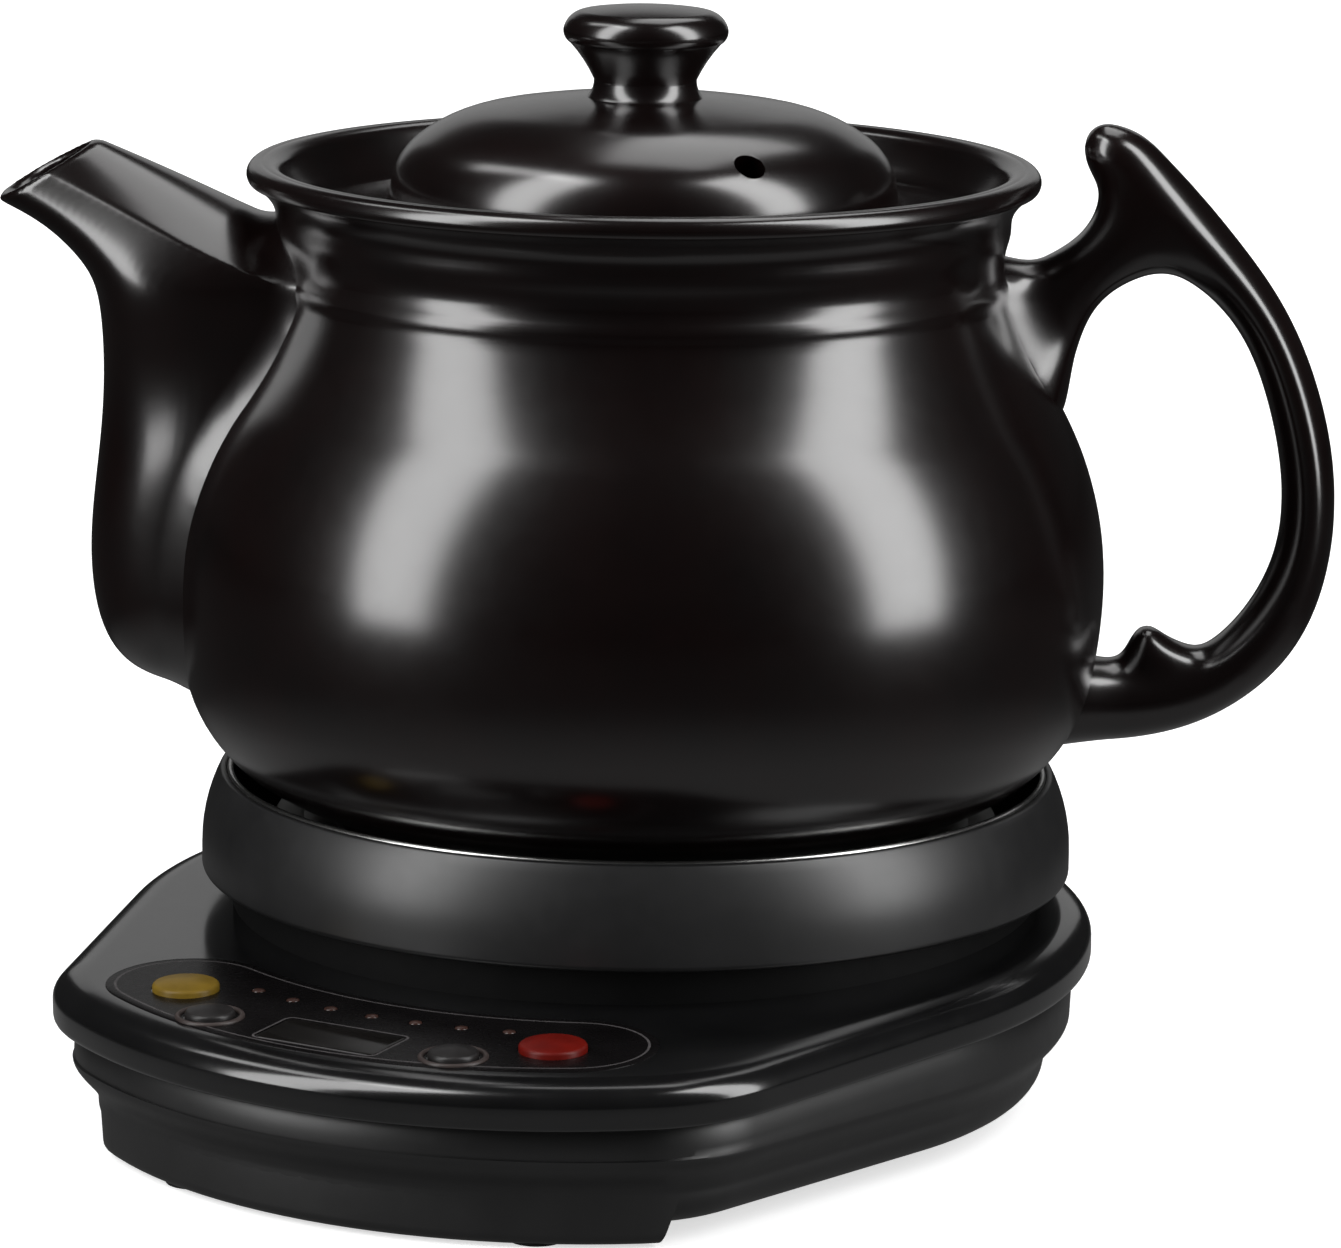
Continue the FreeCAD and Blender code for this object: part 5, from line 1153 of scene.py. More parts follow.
@dataclass(frozen=True)
class Shells:
    """Two shells of the base: the glossy top with its rolled lip and pedestal, and the two-tier tray."""

    outline: BaseOutline = BaseOutline()
    lip_round: float = 5.0
    lip_run: float = 8.4
    lip_drop: float = 2.0
    lip_under: float = 1.8
    lip_width: float = 7.0
    lip_rows: int = 16
    lip_under_rows: int = 5
    wall: float = 2.5
    roof_radius: float = 80.0
    pedestal: Corners = ((88.0, 36.5), (88.0, 47.0), (62.0, 47.0), (62.0, 44.5), (85.5, 44.5), (85.5, 36.5))
    pedestal_round: float = 0.6
    tier_height: float = 15.5
    lower_inset: float = 9.6
    lower_round: float = 6.5
    lower_rows: int = 10
    upper_inset: float = 4.2
    tier_blend: float = 4.4
    tier_rows: int = 15
    crest_drop: float = 7.0
    crest_run: float = 2.6
    crest_rows: int = 8
    rail_slope: float = 0.09
    rail_bottom: float = 0.6
    rail_round: float = 2.8
    rail_rows: int = 6
    inlet_half: Corner = (15.7, 9.95)
    inlet_middle: float = 24.6
    inlet_reach: Corner = (-30.0, 5.0)
    recess_radius: float = 3.3
    recess_start: float = 1.0
    recess_segments: int = 40
    rear_feet: Corners = ((-40.0, 54.0), (40.0, 54.0))
    rear_foot: Corner = (9.0, TRAY_BOTTOM)
    front_pads: Corners = ((-40.0, -120.5), (40.0, -120.5))
    front_pad: Corner = (6.0, 0.6)
    foot_edge: float = 0.8
    foot_segments: int = 64

    def levels(self, rows: Corners, stand: Stand) -> list[np.ndarray]:
        """Outlines at rows of inset and height of a frame."""
        return [stand.lay(self.outline.points(inset), height) for inset, height in rows]

    def circle(self, height: float) -> np.ndarray:
        """Edge of the roof's opening with the outline's directions, on the sloping top."""
        flat = self.outline.points(self.lip_round)
        return Stand.COVER.lay(flat / np.hypot(*flat.T)[:, None] * self.roof_radius, height)

    def build_top(self) -> Piece:
        """Make the top shell, with its pedestal in a darker, duller finish that paints the collar's shade
        on it.

        Returns:
            The top shell.
        """
        low = -LIP_HEIGHT - self.lip_drop
        rows: list[Corner] = [(self.lip_width, low), (self.lip_under, low)]
        rows += quarter(rows[-1], (0.0, low + self.lip_under), self.lip_under_rows)
        rows.append((0.0, -self.lip_round))
        rows += quarter(rows[-1], (self.lip_run, 0.0), self.lip_rows, 1)
        loops = self.levels(rows, Stand.COVER) + [self.circle(0.0), self.circle(-self.wall)]
        loops += self.levels([(self.lip_width, -self.wall)], Stand.COVER)
        roof = skin("roof", loops, ring=True)
        pedestal = turned("pedestal", trace(self.pedestal, True), Stand.BASE, ring=True)
        roof_faces = len(roof.data.polygons)
        shell = merge("base_top_shell", [roof, bevel(pedestal, self.pedestal_round)])
        # The pedestal faces get the darker finish: painted shade under the collar.
        COVER_GLOSS.dress(shell, PEDESTAL_PAINTED_SHADE, range(roof_faces, len(shell.data.polygons)))
        return shell

    def tray_tools(self) -> list[Piece]:
        """Cutters of the screw recesses and the inlet opening.

        Returns:
            The cutters.
        """
        low, high = TRAY_BOTTOM - self.recess_start, TRAY_BOTTOM + RECESS_DEPTH
        bore = np.array([(0.0, low), (self.recess_radius, low), (self.recess_radius, high), (0.0, high)])
        tools = []
        for turn in np.radians(BOSS_ANGLES):
            spot = (BOSS_DISTANCE * math.cos(turn), BOSS_DISTANCE * math.sin(turn))
            tools.append(turned("recess", bore, Stand.BASE, spot, segments=self.recess_segments))
        wide, high = self.inlet_half
        near, far = np.array(self.inlet_reach) + self.outline.rear_radius - self.outline.rear_shift
        mouth = np.array([(-wide, near), (wide, near), (wide, far), (-wide, far)])
        ends = [Stand.BASE.lay(mouth, self.inlet_middle + end) for end in (-high, high)]
        return tools + [skin("inlet_cut", ends, capped=True)]

    def build_tray(self) -> Piece:
        """Make the tray with its front rail, screw recesses and inlet opening.

        Returns:
            The tray.
        """
        bottom, tier, lower, upper = TRAY_BOTTOM, self.tier_height, self.lower_inset, self.upper_inset
        rows: list[Corner] = [(lower + self.lower_round, bottom)]
        rows += quarter(rows[-1], (lower, bottom + self.lower_round), self.lower_rows)
        for share in np.linspace(0.0, 1.0, self.tier_rows):
            ease = share * share * (3 - 2 * share)
            rows.append((lower + (upper - lower) * ease, tier + self.tier_blend * (2 * share - 1)))
        top = -LIP_HEIGHT - self.lip_drop
        crest: list[Corner] = [(upper, top - self.crest_drop)]
        crest += quarter(crest[0], (upper + self.crest_run, top), self.crest_rows, 1)
        crest.append((upper + self.crest_run + self.wall, top))
        inner, floor, step = lower + self.wall, bottom + self.wall, tier + self.wall
        inside = ((upper + self.wall, step), (inner, step), (inner, floor))
        loops = self.levels(rows, Stand.BASE) + self.levels(crest, Stand.COVER)
        loops += self.levels(inside, Stand.BASE)
        tray = carve(skin("tray", loops, capped=True), *self.tray_tools())
        rows = [(lower + self.rail_round, self.rail_bottom)]
        rows += quarter(rows[-1], (lower, self.rail_bottom + self.rail_round), self.rail_rows)
        rows.append((lower, bottom + self.lower_round))
        top = rows[-1][1]
        rail = [Stand.BASE.lay(self.outline.rail(inset, self.rail_slope * (top - height) / top), height)
                for inset, height in rows]
        return merge("base_tray", [tray, skin("rail", rail, capped=True)])

    def build_feet(self) -> Piece:
        """Make the rear feet and the thin pads under the rail.

        Returns:
            The feet as one piece.
        """
        feet = []
        kinds = ((self.rear_feet, self.rear_foot), (self.front_pads, self.front_pad))
        for spots, (radius, height) in kinds:
            edge = min(self.foot_edge, height / 2)
            foot = ((0.0, 0.0), (radius - edge, 0.0, edge), (radius, edge), (radius, height), (0.0, height))
            feet += [turned("foot", trace(foot), Stand.BASE, spot, segments=self.foot_segments)
                     for spot in spots]
        return merge("rubber_foot_set", feet)

    def dress(self) -> None:
        """Build the shells and feet and fit them."""
        fit(self.build_top(), "base_top_cover", "base")
        fit(self.build_tray(), "base_bottom_cover", "base", SHELL_MATT)
        fit(self.build_feet(), "rubber_feet", "base", RUBBER)


@dataclass(frozen=True)
class Heater:
    """Collar, bright edge, heating plate with turned grooves, sprung sensor and its spring."""

    collar: Corners = (
        (84.0, 47.0), (93.2, 47.0, 1.4), (94.6, 48.4), (94.6, 52.4, 35.62), (90.6, 68.8), (89.2, 68.8),
        (91.6, 60.6), (91.9, 49.5), (84.0, 49.5),
    )
    collar_round: float = 0.5
    trim: Corners = ((89.42, 64.8), (90.22, 64.8), (89.15, 68.6, 0.8), (87.75, 68.9, 0.8), (88.3, 68.2))
    trim_round: float = 0.2
    plate_under: float = 55.5
    plate_top: float = 58.0
    plate_inner: float = 14.0
    plate_outer: float = 79.0
    plate_edge: float = 0.5
    groove_step: float = 6.5
    groove_width: float = 1.6
    groove_depth: float = 0.35
    sensor: Corners = (
        (0.0, 39.0), (6.0, 39.0), (6.0, 54.2), (11.5, 54.2), (11.5, 57.2), (10.7, 58.0), (8.2, 58.0),
        (7.8, 57.8), (7.4, 58.0), (0.0, 58.0),
    )
    sensor_round: float = 0.25
    spring_radius: float = 9.05
    spring_wire: float = 0.45
    spring_low: float = 50.1
    spring_high: float = 53.6
    spring_turns: float = 3.0
    spring_steps: int = 48
    spring_sides: int = 14
    spring_keep: float = 0.66

    def build_plate(self) -> Piece:
        """Make the plate with its rings of shallow grooves.

        Returns:
            The plate.
        """
        inner, outer, top, edge = self.plate_inner, self.plate_outer, self.plate_top, self.plate_edge
        rows = [(inner, self.plate_under), (outer, self.plate_under), (outer, top - edge)]
        rows.append((outer - edge, top))
        half = self.groove_width / 2
        for radius in np.arange(outer - self.groove_step, inner + self.groove_step / 2, -self.groove_step):
            rows += [(radius + half, top), (radius, top - self.groove_depth), (radius - half, top)]
        rows += [(inner + edge, top), (inner, top - edge)]
        return turned("heating_plate_grooved", np.array(rows), Stand.BASE, ring=True)

    def build_spring(self) -> Piece:
        """Wind the spring with a tree.

        Returns:
            The spring.
        """
        tree = Tree("sensor_spring_coil", "Radius", "Wire", "Height", "Turns")
        given = tree.given
        coil = tree.add("GeometryNodeCurveSpiral", {
            "Resolution": self.spring_steps, "Rotations": given["Turns"], "Start Radius": given["Radius"],
            "End Radius": given["Radius"], "Height": given["Height"]})
        wire = tree.add("GeometryNodeCurvePrimitiveCircle", {
            "Resolution": self.spring_sides, "Radius": given["Wire"]})
        body = tree.add("GeometryNodeCurveToMesh", {
            "Curve": coil, "Profile Curve": wire, "Fill Caps": True})
        spring = new_object("sensor_spring_wound", bpy.data.meshes.new("sensor_spring_wound"))
        tree.grow(body, spring, SPRING_STEEL, Radius=self.spring_radius * MM, Wire=self.spring_wire * MM,
                  Height=(self.spring_high - self.spring_low) * MM, Turns=self.spring_turns)
        spring.data.transform(Matrix.Translation((AXIS.x * MM, AXIS.y * MM, self.spring_low * MM)))
        return spring

    def dress(self) -> None:
        """Build the pieces and fit them."""
        collar = turned("heater_collar_ring", trace(self.collar, True), Stand.BASE, ring=True)
        fit(bevel(collar, self.collar_round), "heater_collar", "base", COLLAR_SATIN)
        trim = turned("collar_trim_ring", trace(self.trim, True), Stand.BASE, ring=True)
        fit(bevel(trim, self.trim_round), "collar_trim", "base", BRIGHT_TRIM)
        fit(self.build_plate(), "heating_plate", "base", PLATE_METAL)
        sensor = turned("sensor_plunger_cap", trace(self.sensor), Stand.BASE, segments=SMALL_SEGMENTS)
        fit(bevel(sensor, self.sensor_round), "sensor_plunger", "sensor_body", PLATE_METAL)
        spring = fit(self.build_spring(), "sensor_spring", "base")
        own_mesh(spring)


# Panel


@dataclass(frozen=True)
class Key:
    """Round key on a stem."""

    name: str
    spot: Corner
    radius: float
    finish: Finish


@dataclass(frozen=True)
class Panel:
    """Bean-shaped overlay with four keys, two rings, a display window and a row of lights."""

    outer: float = 109.0
    outer_shift: float = 28.5
    inner: float = 99.5
    end: float = 17.49
    spread: float = math.radians(23.2)
    long_steps: int = 60
    end_steps: int = 40
    top: float = 0.2
    bottom: float = -1.0
    edge: float = 0.35
    edge_share: float = 0.3
    line_inset: float = 1.5
    line_width: float = 0.5
    play: float = 0.3
    hole_steps: int = 48
    light_hole_skip: int = 3
    keys: Sequence[Key] = (
        Key("start_key", (44.0, -112.0), 7.0, KEY_RED),
        Key("mode_key", (-44.0, -112.0), 7.0, KEY_YELLOW),
        Key("plus_key", (29.0, -126.0), 5.2, KEY_DARK),
        Key("minus_key", (-29.0, -126.0), 5.2, KEY_DARK),
    )
    key_stem: float = 2.0
    key_stem_end: float = -7.3
    key_flange: Corner = (-4.3, -2.8)
    key_flange_width: float = 1.5
    key_edge: float = 1.5
    key_edge_low: float = 0.5
    key_edge_in: float = 0.7
    key_edge_up: float = 0.12
    key_edge_bend: float = 0.9
    key_crown: float = 2.2
    bezel: Corner = (6.0, 7.2, 0.6)
    bezel_sink: float = 0.05
    bezel_share: float = 0.8
    window_half: Corner = (14.0, 7.0)
    window_spot: Corner = (0.0, -126.0)
    window_corner: float = 1.2
    window_steps: int = 8
    window_low: float = -2.5
    window_edge: Corners = ((0.0, -0.25), (-0.12, -0.06), (-0.4, 0.0))
    light_radius: float = 1.4
    light_play: float = 0.2
    light_distance: float = 110.0
    light_step: float = math.radians(5.3)
    light_count: int = 7
    light_foot: float = -13.1
    light_sink: float = 0.1
    light_crown: float = 0.3
    light_rings: int = 12

    def bean(self, inset: float) -> np.ndarray:
        """Outline of the panel, moved in, with the same number of points each time.

        Args:
            inset: Distance from the edge.

        Returns:
            Rows of x and y.
        """
        gap, spread = self.inner + self.end, self.spread
        forward, across = gap * math.cos(spread), gap * math.sin(spread)
        outer_angle = math.atan2(across, forward - self.outer_shift)
        end = self.end - inset
        arcs = (
            ((0.0, -self.outer_shift), self.outer - inset, -outer_angle, outer_angle, self.long_steps),
            ((across, -forward), end, outer_angle, math.pi + spread, self.end_steps),
            ((0.0, 0.0), self.inner + inset, spread, -spread, self.long_steps),
            ((-across, -forward), end, math.pi - spread, FULL_TURN - outer_angle, self.end_steps),
        )
        return np.concatenate([arc(spot, radius, first - QUARTER_TURN, last - QUARTER_TURN, count)
                               for spot, radius, first, last, count in arcs])

    def light_spots(self) -> np.ndarray:
        """Places of the lights on their arc."""
        angles = self.light_step * (np.arange(self.light_count) - (self.light_count - 1) / 2)
        return self.light_distance * np.column_stack([np.sin(angles), -np.cos(angles)])

    def window_loop(self, grow: float) -> np.ndarray:
        """Rounded outline of the window, moved out.

        Args:
            grow: Distance from the edge.

        Returns:
            Rows of x and y.
        """
        straight = np.array(self.window_half) - self.window_corner
        angles = np.linspace(0.0, QUARTER_TURN, self.window_steps)
        rows = []
        for number, side in enumerate(((1, 1), (-1, 1), (-1, -1), (1, -1))):
            turns = angles + QUARTER_TURN * number
            corner = (self.window_corner + grow) * np.column_stack([np.cos(turns), np.sin(turns)])
            rows.append(self.window_spot + straight * side + corner)
        return np.concatenate(rows)

    def holes(self) -> list[np.ndarray]:
        """Outlines of everything that comes up through the panel.

        Returns:
            Closed outlines, with the window last.
        """
        ring = arc((0.0, 0.0), 1.0, 0.0, FULL_TURN, self.hole_steps)
        loops = [np.array(key.spot) + ring * (key.radius + self.play) for key in self.keys]
        small = ring[::self.light_hole_skip] * (self.light_radius + self.light_play)
        loops += [spot + small for spot in self.light_spots()]
        return loops + [self.window_loop(self.play)]

    def build_panel(self) -> Piece:
        """Make the overlay with its holes and its printed border lines.

        Returns:
            The panel.
        """
        soup = bmesh.new()

        def ring(flat: np.ndarray, height: float) -> Ring:
            """Vertices of one outline at a height."""
            return [soup.verts.new(tuple(row)) for row in Stand.PANEL.lay(flat, height)]

        def strip(low: Ring, high: Ring, printed: bool = False) -> None:
            """Faces between two outlines of the same length.

            Args:
                low: First outline.
                high: Second outline.
                printed: Whether the faces are printed.
            """
            for step in range(len(low)):
                after = (step + 1) % len(low)
                face = soup.faces.new((low[step], low[after], high[after], high[step]))
                face.material_index = int(printed)

        def fill(loops: list[Ring]) -> None:
            """Flat face inside the first outline and outside the others.

            Args:
                loops: Outlines, the outer one first.
            """
            pairs = [pair for loop in loops for pair in zip(loop, loop[1:] + loop[:1])]
            edges = [soup.edges.get(pair) or soup.edges.new(pair) for pair in pairs]
            bmesh.ops.triangle_fill(soup, edges=edges, use_beauty=True)

        line_out, round_off = self.edge + self.line_inset, self.edge * self.edge_share
        rows = ((0.0, self.bottom), (0.0, self.top - self.edge), (round_off, self.top - round_off),
                (self.edge, self.top), (line_out, self.top), (line_out + self.line_width, self.top))
        outer = [ring(self.bean(inset), height) for inset, height in rows]
        for low, high in zip(outer, outer[1:]):
            strip(low, high, high is outer[-1])
        tops = [ring(loop, self.top) for loop in self.holes()]
        bottoms = [ring(loop, self.bottom) for loop in self.holes()]
        for low, high in zip(bottoms, tops):
            strip(low, high)
        border = ring(self.window_loop(self.play + self.line_width), self.top)
        strip(tops[-1], border, True)
        fill([outer[-1]] + tops[:-1] + [border])
        fill([outer[0]] + bottoms)
        panel = from_bmesh("control_panel_film", soup)
        printed = [face.index for face in panel.data.polygons if face.material_index]
        PANEL_FILM.dress(panel, PRINT_PALE, printed)
        return panel

    def build_key(self, key: Key) -> Piece:
        """Make one key with a crowned head, a rounded edge, a flange and a stem.

        Args:
            key: Key to make.

        Returns:
            The key.
        """
        radius, stem, low, (under, over) = key.radius, self.key_stem, self.key_stem_end, self.key_flange
        flange = radius + self.key_flange_width
        crown = self.key_crown - self.key_edge
        crown_bend = (radius**2 + crown**2) / (2 * crown)
        outline = trace((
            (0.0, low), (stem, low), (stem, under), (flange, under), (flange, over), (radius, over),
            (radius, self.key_edge - self.key_edge_low, self.key_edge_bend),
            (radius - self.key_edge_in, self.key_edge + self.key_edge_up, crown_bend),
            (0.0, self.key_crown),
        ))
        return turned(key.name + "_cap", outline, Stand.PANEL, key.spot, segments=SMALL_SEGMENTS)

    def build_bezels(self) -> Piece:
        """Make the half-round rings about the two small keys.

        Returns:
            The rings as one piece.
        """
        inner, outer, height = self.bezel
        low, high = self.top - self.bezel_sink, self.top + height
        half = (outer - inner) / 2
        side = high - half * self.bezel_share
        rows = ((inner, low), (outer, low), (outer, side, half), (outer - half, high, half), (inner, side))
        outline = trace(rows, True)
        rings = [turned("bezel", outline, Stand.PANEL, key.spot, True, SMALL_SEGMENTS)
                 for key in self.keys[2:]]
        return merge("key_bezel_rings", rings)

    def build_window(self) -> Piece:
        """Make the smoked window with a softened edge.

        Returns:
            The window.
        """
        rows = [(0.0, self.window_low)] + [(grow, self.top + height) for grow, height in self.window_edge]
        loops = [Stand.PANEL.lay(self.window_loop(grow), height) for grow, height in rows]
        return skin("display_window_pane", loops, capped=True)

    def build_lights(self) -> Piece:
        """Set small domed light guides along their arc with a tree.

        Returns:
            The row of lights.
        """
        tree = Tree("light_row", "Radius", "Length", "Crown")
        given = tree.given
        low = tree.vector(Z=tree.calc("MULTIPLY", given["Length"], -0.5))
        stem = tree.move(tree.rod("Radius", "Length"), Translation=low)
        ball = tree.add("GeometryNodeMeshUVSphere", {
            "Segments": ROD_SIDES, "Rings": self.light_rings, "Radius": given["Radius"]})
        dome = tree.move(ball, Scale=tree.vector(X=1.0, Y=1.0, Z=given["Crown"]))
        tilt = tuple(Stand.PANEL.matrix().to_euler())
        row = tree.scatter(given["Geometry"], tree.join(stem, dome), Rotation=tilt)
        height = self.top - self.light_sink
        lights = seeds("indicator_light_row", Stand.PANEL.lay(self.light_spots(), height))
        return tree.grow(row, lights, LIGHT_CLEAR, Radius=self.light_radius * MM, Crown=self.light_crown,
                         Length=(height - self.light_foot) * MM)

    def dress(self) -> None:
        """Build the pieces and fit them."""
        fit(self.build_panel(), "control_panel", "base")
        for key in self.keys:
            fit(self.build_key(key), key.name, key.name + "_body", key.finish)
        fit(self.build_bezels(), "key_bezels", "base", RING_GREY)
        fit(self.build_window(), "display_window", "base", WINDOW_SMOKE)
        fit(self.build_lights(), "indicator_lights", "base")


# Screws and the pieces that keep their own shape


@dataclass(frozen=True)
class Screws:
    """Pan-head cross-recessed screws on a circle of the base."""

    name: str
    node: str
    angles: Corner
    distance: float
    seat: float
    length: float
    flip: float
    head_radius: float = 3.0
    head_height: float = 2.0
    head_share: float = 0.72
    head_sides: int = 32
    head_rows: int = 3
    shank_radius: float = 1.5
    slot_long: float = 1.1
    slot_wide: float = 0.24

    def build(self) -> Piece:
        """Set one screw on each point with a tree.

        Returns:
            The screws as one piece.
        """
        tree = Tree("screw_set", "Head Radius", "Head Height", "Shank Radius", "Shank Length", "Flip")
        given = tree.given
        radius, height = given["Head Radius"], given["Head Height"]
        shares = (self.head_share, self.slot_long, self.slot_wide)
        crown, long, wide = (tree.calc("MULTIPLY", radius, share) for share in shares)
        head = tree.add("GeometryNodeMeshCone", {
            "Vertices": self.head_sides, "Side Segments": self.head_rows, "Radius Top": crown,
            "Radius Bottom": radius, "Depth": height})
        raised = tree.vector(Z=height)
        bars = []
        for x, y in ((long, wide), (wide, long)):
            bar = tree.add("GeometryNodeMeshCube", {"Size": tree.vector(X=x, Y=y, Z=height)})
            bars.append(tree.move(bar, Translation=raised))
        top = tree.cut(head, tree.join(*bars), **{"Self Intersection": True})
        down = tree.vector(Z=tree.calc("MULTIPLY", given["Shank Length"], -0.5))
        shank = tree.move(tree.rod("Shank Radius", "Shank Length"), Translation=down)
        row = tree.scatter(given["Geometry"], tree.join(top, shank), Rotation=tree.vector(X=given["Flip"]))
        turns = np.radians(self.angles)
        spots = self.distance * np.column_stack([np.cos(turns), np.sin(turns)])
        screws = seeds(self.name, Stand.BASE.lay(spots, self.seat))
        return tree.grow(row, screws, SCREW_ZINC, Head_Radius=self.head_radius * MM,
                         Head_Height=self.head_height * MM, Shank_Radius=self.shank_radius * MM,
                         Shank_Length=self.length * MM, Flip=self.flip)

    def dress(self) -> None:
        """Build the screws and fit them."""
        fit(self.build(), self.node, "base")


COVER_SCREWS = Screws("cover_screw_set", "cover_screws", BOSS_ANGLES, BOSS_DISTANCE,
                      TRAY_BOTTOM + RECESS_DEPTH, 16.0, math.pi)
HEATER_SCREWS = Screws("heater_screw_set", "heater_screws", (0.0, 120.0, 240.0), 68.0, 48.0, 5.0, 0.0)


class Kept(Enum):
    """Nodes that keep their own shape, with the finish of each."""

    BRIGHT = (BRIGHT_TRIM, ("locating_clips", "plate_supports", "inlet_pins"))
    PLATE = (PLATE_METAL, ("heat_reflector",))
    ELEMENT = (ELEMENT_METAL, ("heating_element",))
    SENSOR = (SENSOR_PLASTIC, ("sensor_guide", "thermal_cutout", "terminal_block"))
    BOARD = (BOARD_GREEN, ("control_board", "power_board"))
    MODULE = (MODULE_BLACK, ("display_module", "key_switches", "power_relay", "transformer", "capacitors",
                             "inlet_socket"))
    LEADS = (LEAD_SLEEVE, ("heater_leads", "inlet_leads"))
    RIBBON = (RIBBON_GREY, ("panel_ribbon",))
    SCREW = (SCREW_ZINC, ("board_screws",))

    def dress(self) -> None:
        """Give the nodes their finish."""
        finish, names = self.value
        for name in names:
            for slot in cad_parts[name].material_slots:
                slot.material = finish.material()
            LOG.info("node %s keeps its shape in %s", name, finish.name)


# Studio


@dataclass(frozen=True)
class SoftBox:
    """Rectangular lamp that stands about the pot and faces it, in metres and degrees."""

    name: str
    azimuth: float
    distance: float
    height: float
    width: float
    length: float
    radiance: float
    spin: float = 0.0
    aim: float = 0.13

    def build(self) -> None:
        """Hang the lamp; azimuth 0 is at the camera and 90 at the handle."""
        lamp = bpy.data.lights.new(self.name, "AREA")
        lamp.shape = "RECTANGLE"
        lamp.size = self.width
        lamp.size_y = self.length
        lamp.energy = self.radiance * math.pi * self.width * self.length
        turn = math.radians(self.azimuth)
        middle = Vector((AXIS.x * MM, AXIS.y * MM, self.aim))
        spot = Vector((middle.x + self.distance * math.sin(turn), middle.y - self.distance * math.cos(turn),
                       self.height))
        face = (middle - spot).to_track_quat("-Z", "Y").to_matrix().to_4x4()
        spin = Matrix.Rotation(math.radians(self.spin), 4, "Z")
        new_object(self.name, lamp).matrix_world = Matrix.Translation(spot) @ face @ spin


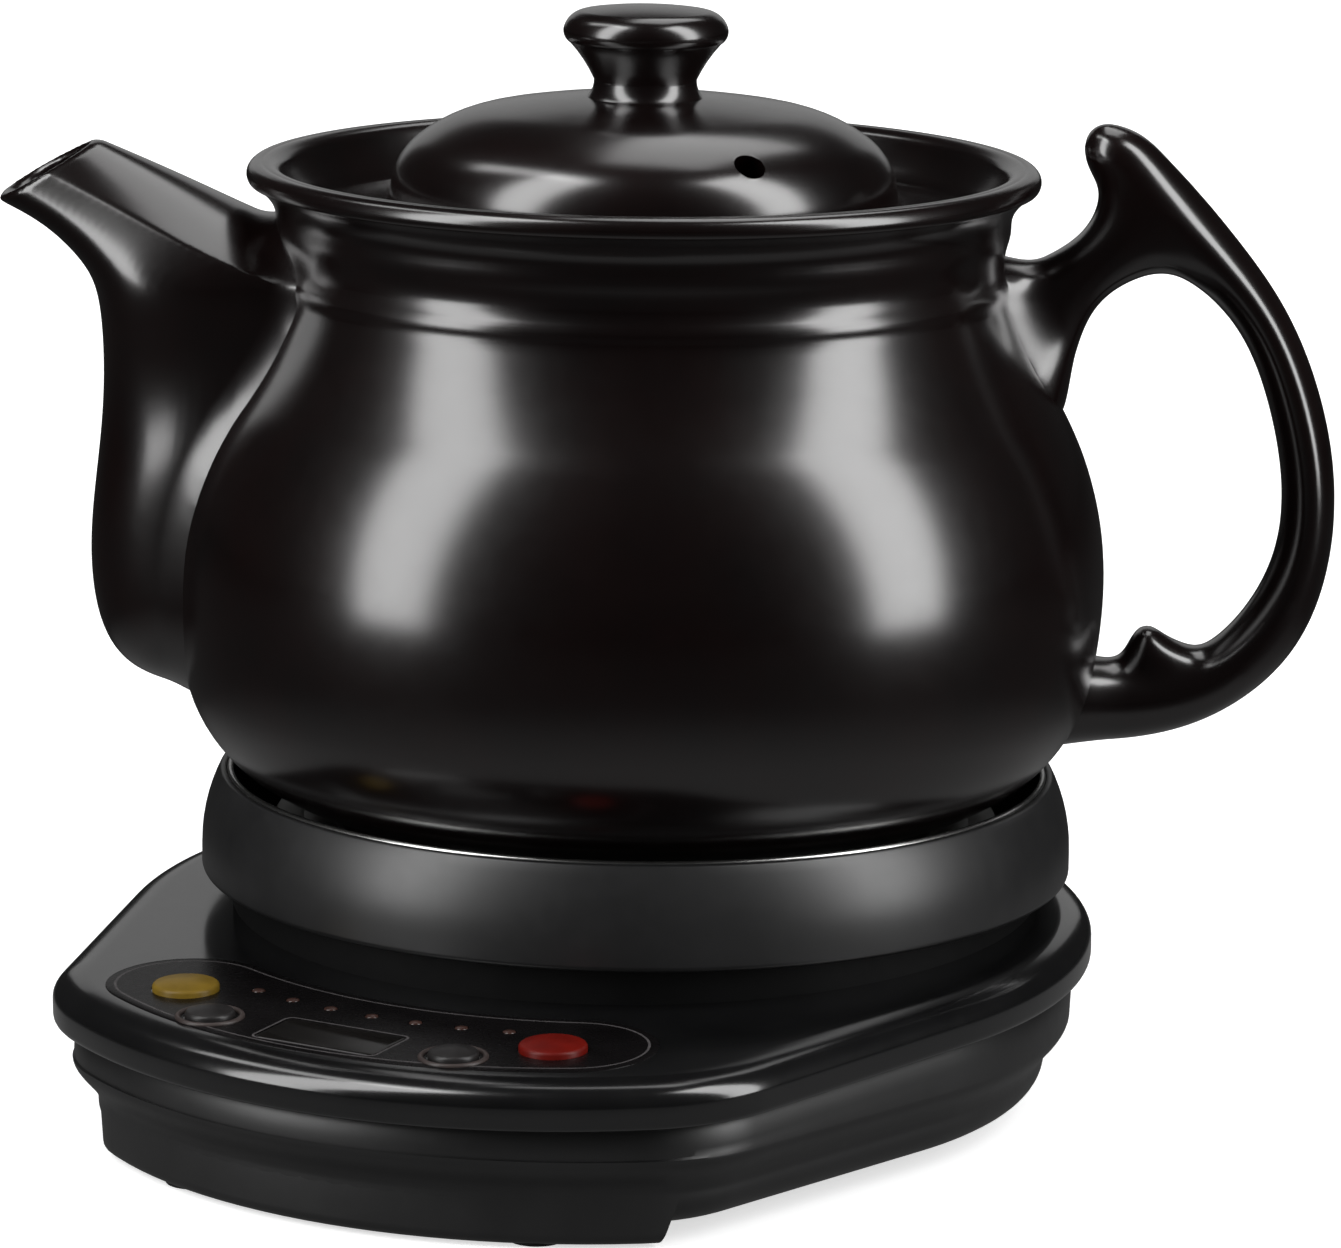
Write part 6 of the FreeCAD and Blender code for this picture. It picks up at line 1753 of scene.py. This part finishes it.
@dataclass(frozen=True)
class Studio:
    """Pale floor, soft lamps, white surroundings and the camera."""

    camera_spot: Corner = (-6.65, 21.4468 - 1376.35, 389.84)
    yaw: float = 0.00504
    pitch: float = 0.20734
    roll: float = 0.0136
    lens: float = 173.9
    sensor: float = 36.0
    view_end: float = 50.0
    white: Corner = (1.0, 1.0, 1.0, 1.0)
    floor_half: float = 6.0
    floor_pale: Corner = (0.82, 0.82, 0.82, 1.0)
    floor_dim: Corner = (0.02, 0.02, 0.02, 1.0)
    floor_glow: Corner = (0.4, 1.4, 0.62, 1.0)
    floor_gloss: Corner = (0.2, 0.32, 0.12, 0.0)
    ambient: float = 0.4
    gloss_share: float = 0.014
    boxes: Sequence[SoftBox] = (
        SoftBox("box_left", -60.0, 0.95, 0.7, 0.44, 1.6, 4.4),
        SoftBox("box_right", 66.0, 0.95, 0.7, 0.44, 1.6, 4.8),
        SoftBox("box_lip", -93.0, 0.61, 1.2, 0.95, 0.2, 2.6, 36.0),
        SoftBox("box_crown", 164.0, 0.49, 1.1, 0.45, 0.75, 1.5),
        SoftBox("box_back", 180.0, 1.2, 0.42, 1.0, 0.45, 0.3),
    )

    def place_camera(self) -> None:
        """Set the camera where the picture was taken from."""
        flat = math.cos(self.pitch)
        ahead = Vector((math.sin(self.yaw) * flat, math.cos(self.yaw) * flat, -math.sin(self.pitch)))
        level = ahead.cross(Vector((0.0, 0.0, 1.0))).normalized()
        upright = level.cross(ahead)
        right = level * math.cos(self.roll) + upright * math.sin(self.roll)
        up = upright * math.cos(self.roll) - level * math.sin(self.roll)
        data = bpy.data.cameras.new("camera")
        data.lens = self.lens
        data.sensor_width = self.sensor
        data.sensor_fit = "HORIZONTAL"
        data.clip_end = self.view_end
        camera = new_object("camera", data)
        turn = Matrix((right, up, -ahead)).transposed().to_4x4()
        camera.matrix_world = Matrix.Translation(Vector(self.camera_spot) * MM) @ turn
        bpy.context.scene.camera = camera

    def light_world(self) -> None:
        """White to the camera and through glass, dimmer in gloss, and a low even light on the object."""
        world = bpy.data.worlds.new("surroundings")
        bpy.context.scene.world = world
        world.use_nodes = True
        nodes = Nodes(world.node_tree)
        ray = nodes.add("ShaderNodeLightPath").outputs
        clear = ray["Is Transmission Ray"]
        gloss = nodes.calc("MULTIPLY_ADD", ray["Is Glossy Ray"], self.gloss_share, clear)
        seen = nodes.calc("MAXIMUM", ray["Is Camera Ray"], gloss)
        lit = nodes.calc("MULTIPLY_ADD", ray["Is Diffuse Ray"], self.ambient, seen)
        back = nodes.add("ShaderNodeBackground", {"Color": self.white, "Strength": lit})
        nodes.add("ShaderNodeOutputWorld", {"Surface": back})

    def lay_floor(self) -> None:
        """Lay a large pale floor that keeps the shadow."""
        half = self.floor_half
        mesh = bpy.data.meshes.new("floor")
        corners = [(-half, -half, 0.0), (half, -half, 0.0), (half, half, 0.0), (-half, half, 0.0)]
        mesh.from_pydata(corners, [], [(0, 1, 2, 3)])
        floor = new_object("floor", mesh)
        material = bpy.data.materials.new("floor_pale")
        material.use_nodes = True
        nodes = Nodes(material.node_tree)
        ray = nodes.add("ShaderNodeLightPath").outputs
        place = nodes.add("ShaderNodeTexCoord").outputs["Object"]
        far = nodes.add("ShaderNodeVectorMath", {0: place}, operation="LENGTH").outputs["Value"]
        sheen = nodes.calc("MULTIPLY", nodes.span(far, *self.floor_gloss), ray["Is Glossy Ray"])
        bright = nodes.span(far, *self.floor_glow)
        kinds = []
        for colour, strength in ((self.floor_dim, sheen), (self.floor_pale, bright)):
            cloth = nodes.add("ShaderNodeBsdfDiffuse", {"Color": colour})
            glow = nodes.add("ShaderNodeEmission", {"Strength": strength})
            kinds.append(nodes.add("ShaderNodeAddShader", {0: cloth, 1: glow}))
        mix = nodes.add("ShaderNodeMixShader", {"Fac": ray["Is Camera Ray"], 1: kinds[0], 2: kinds[1]})
        nodes.add("ShaderNodeOutputMaterial", {"Surface": mix})
        mesh.materials.append(material)

    def build(self) -> None:
        """Set up everything round the object."""
        bpy.context.scene.view_settings.view_transform = "Standard"
        self.place_camera()
        self.light_world()
        self.lay_floor()
        for box in self.boxes:
            box.build()


def main() -> None:
    """Set up the studio, build every sub-assembly in order, then give the kept nodes their finishes."""
    logging.basicConfig(level=logging.INFO)
    Studio().build()
    pot = Pot()
    parts = (pot, Spout(pot), Handle(pot), Lid(), Shells(), Heater(), Panel(), COVER_SCREWS, HEATER_SCREWS)
    for part in parts:
        part.dress()
        LOG.info("built %s", type(part).__name__)
    for kept in Kept:
        kept.dress()


if __name__ == "__main__":
    main()
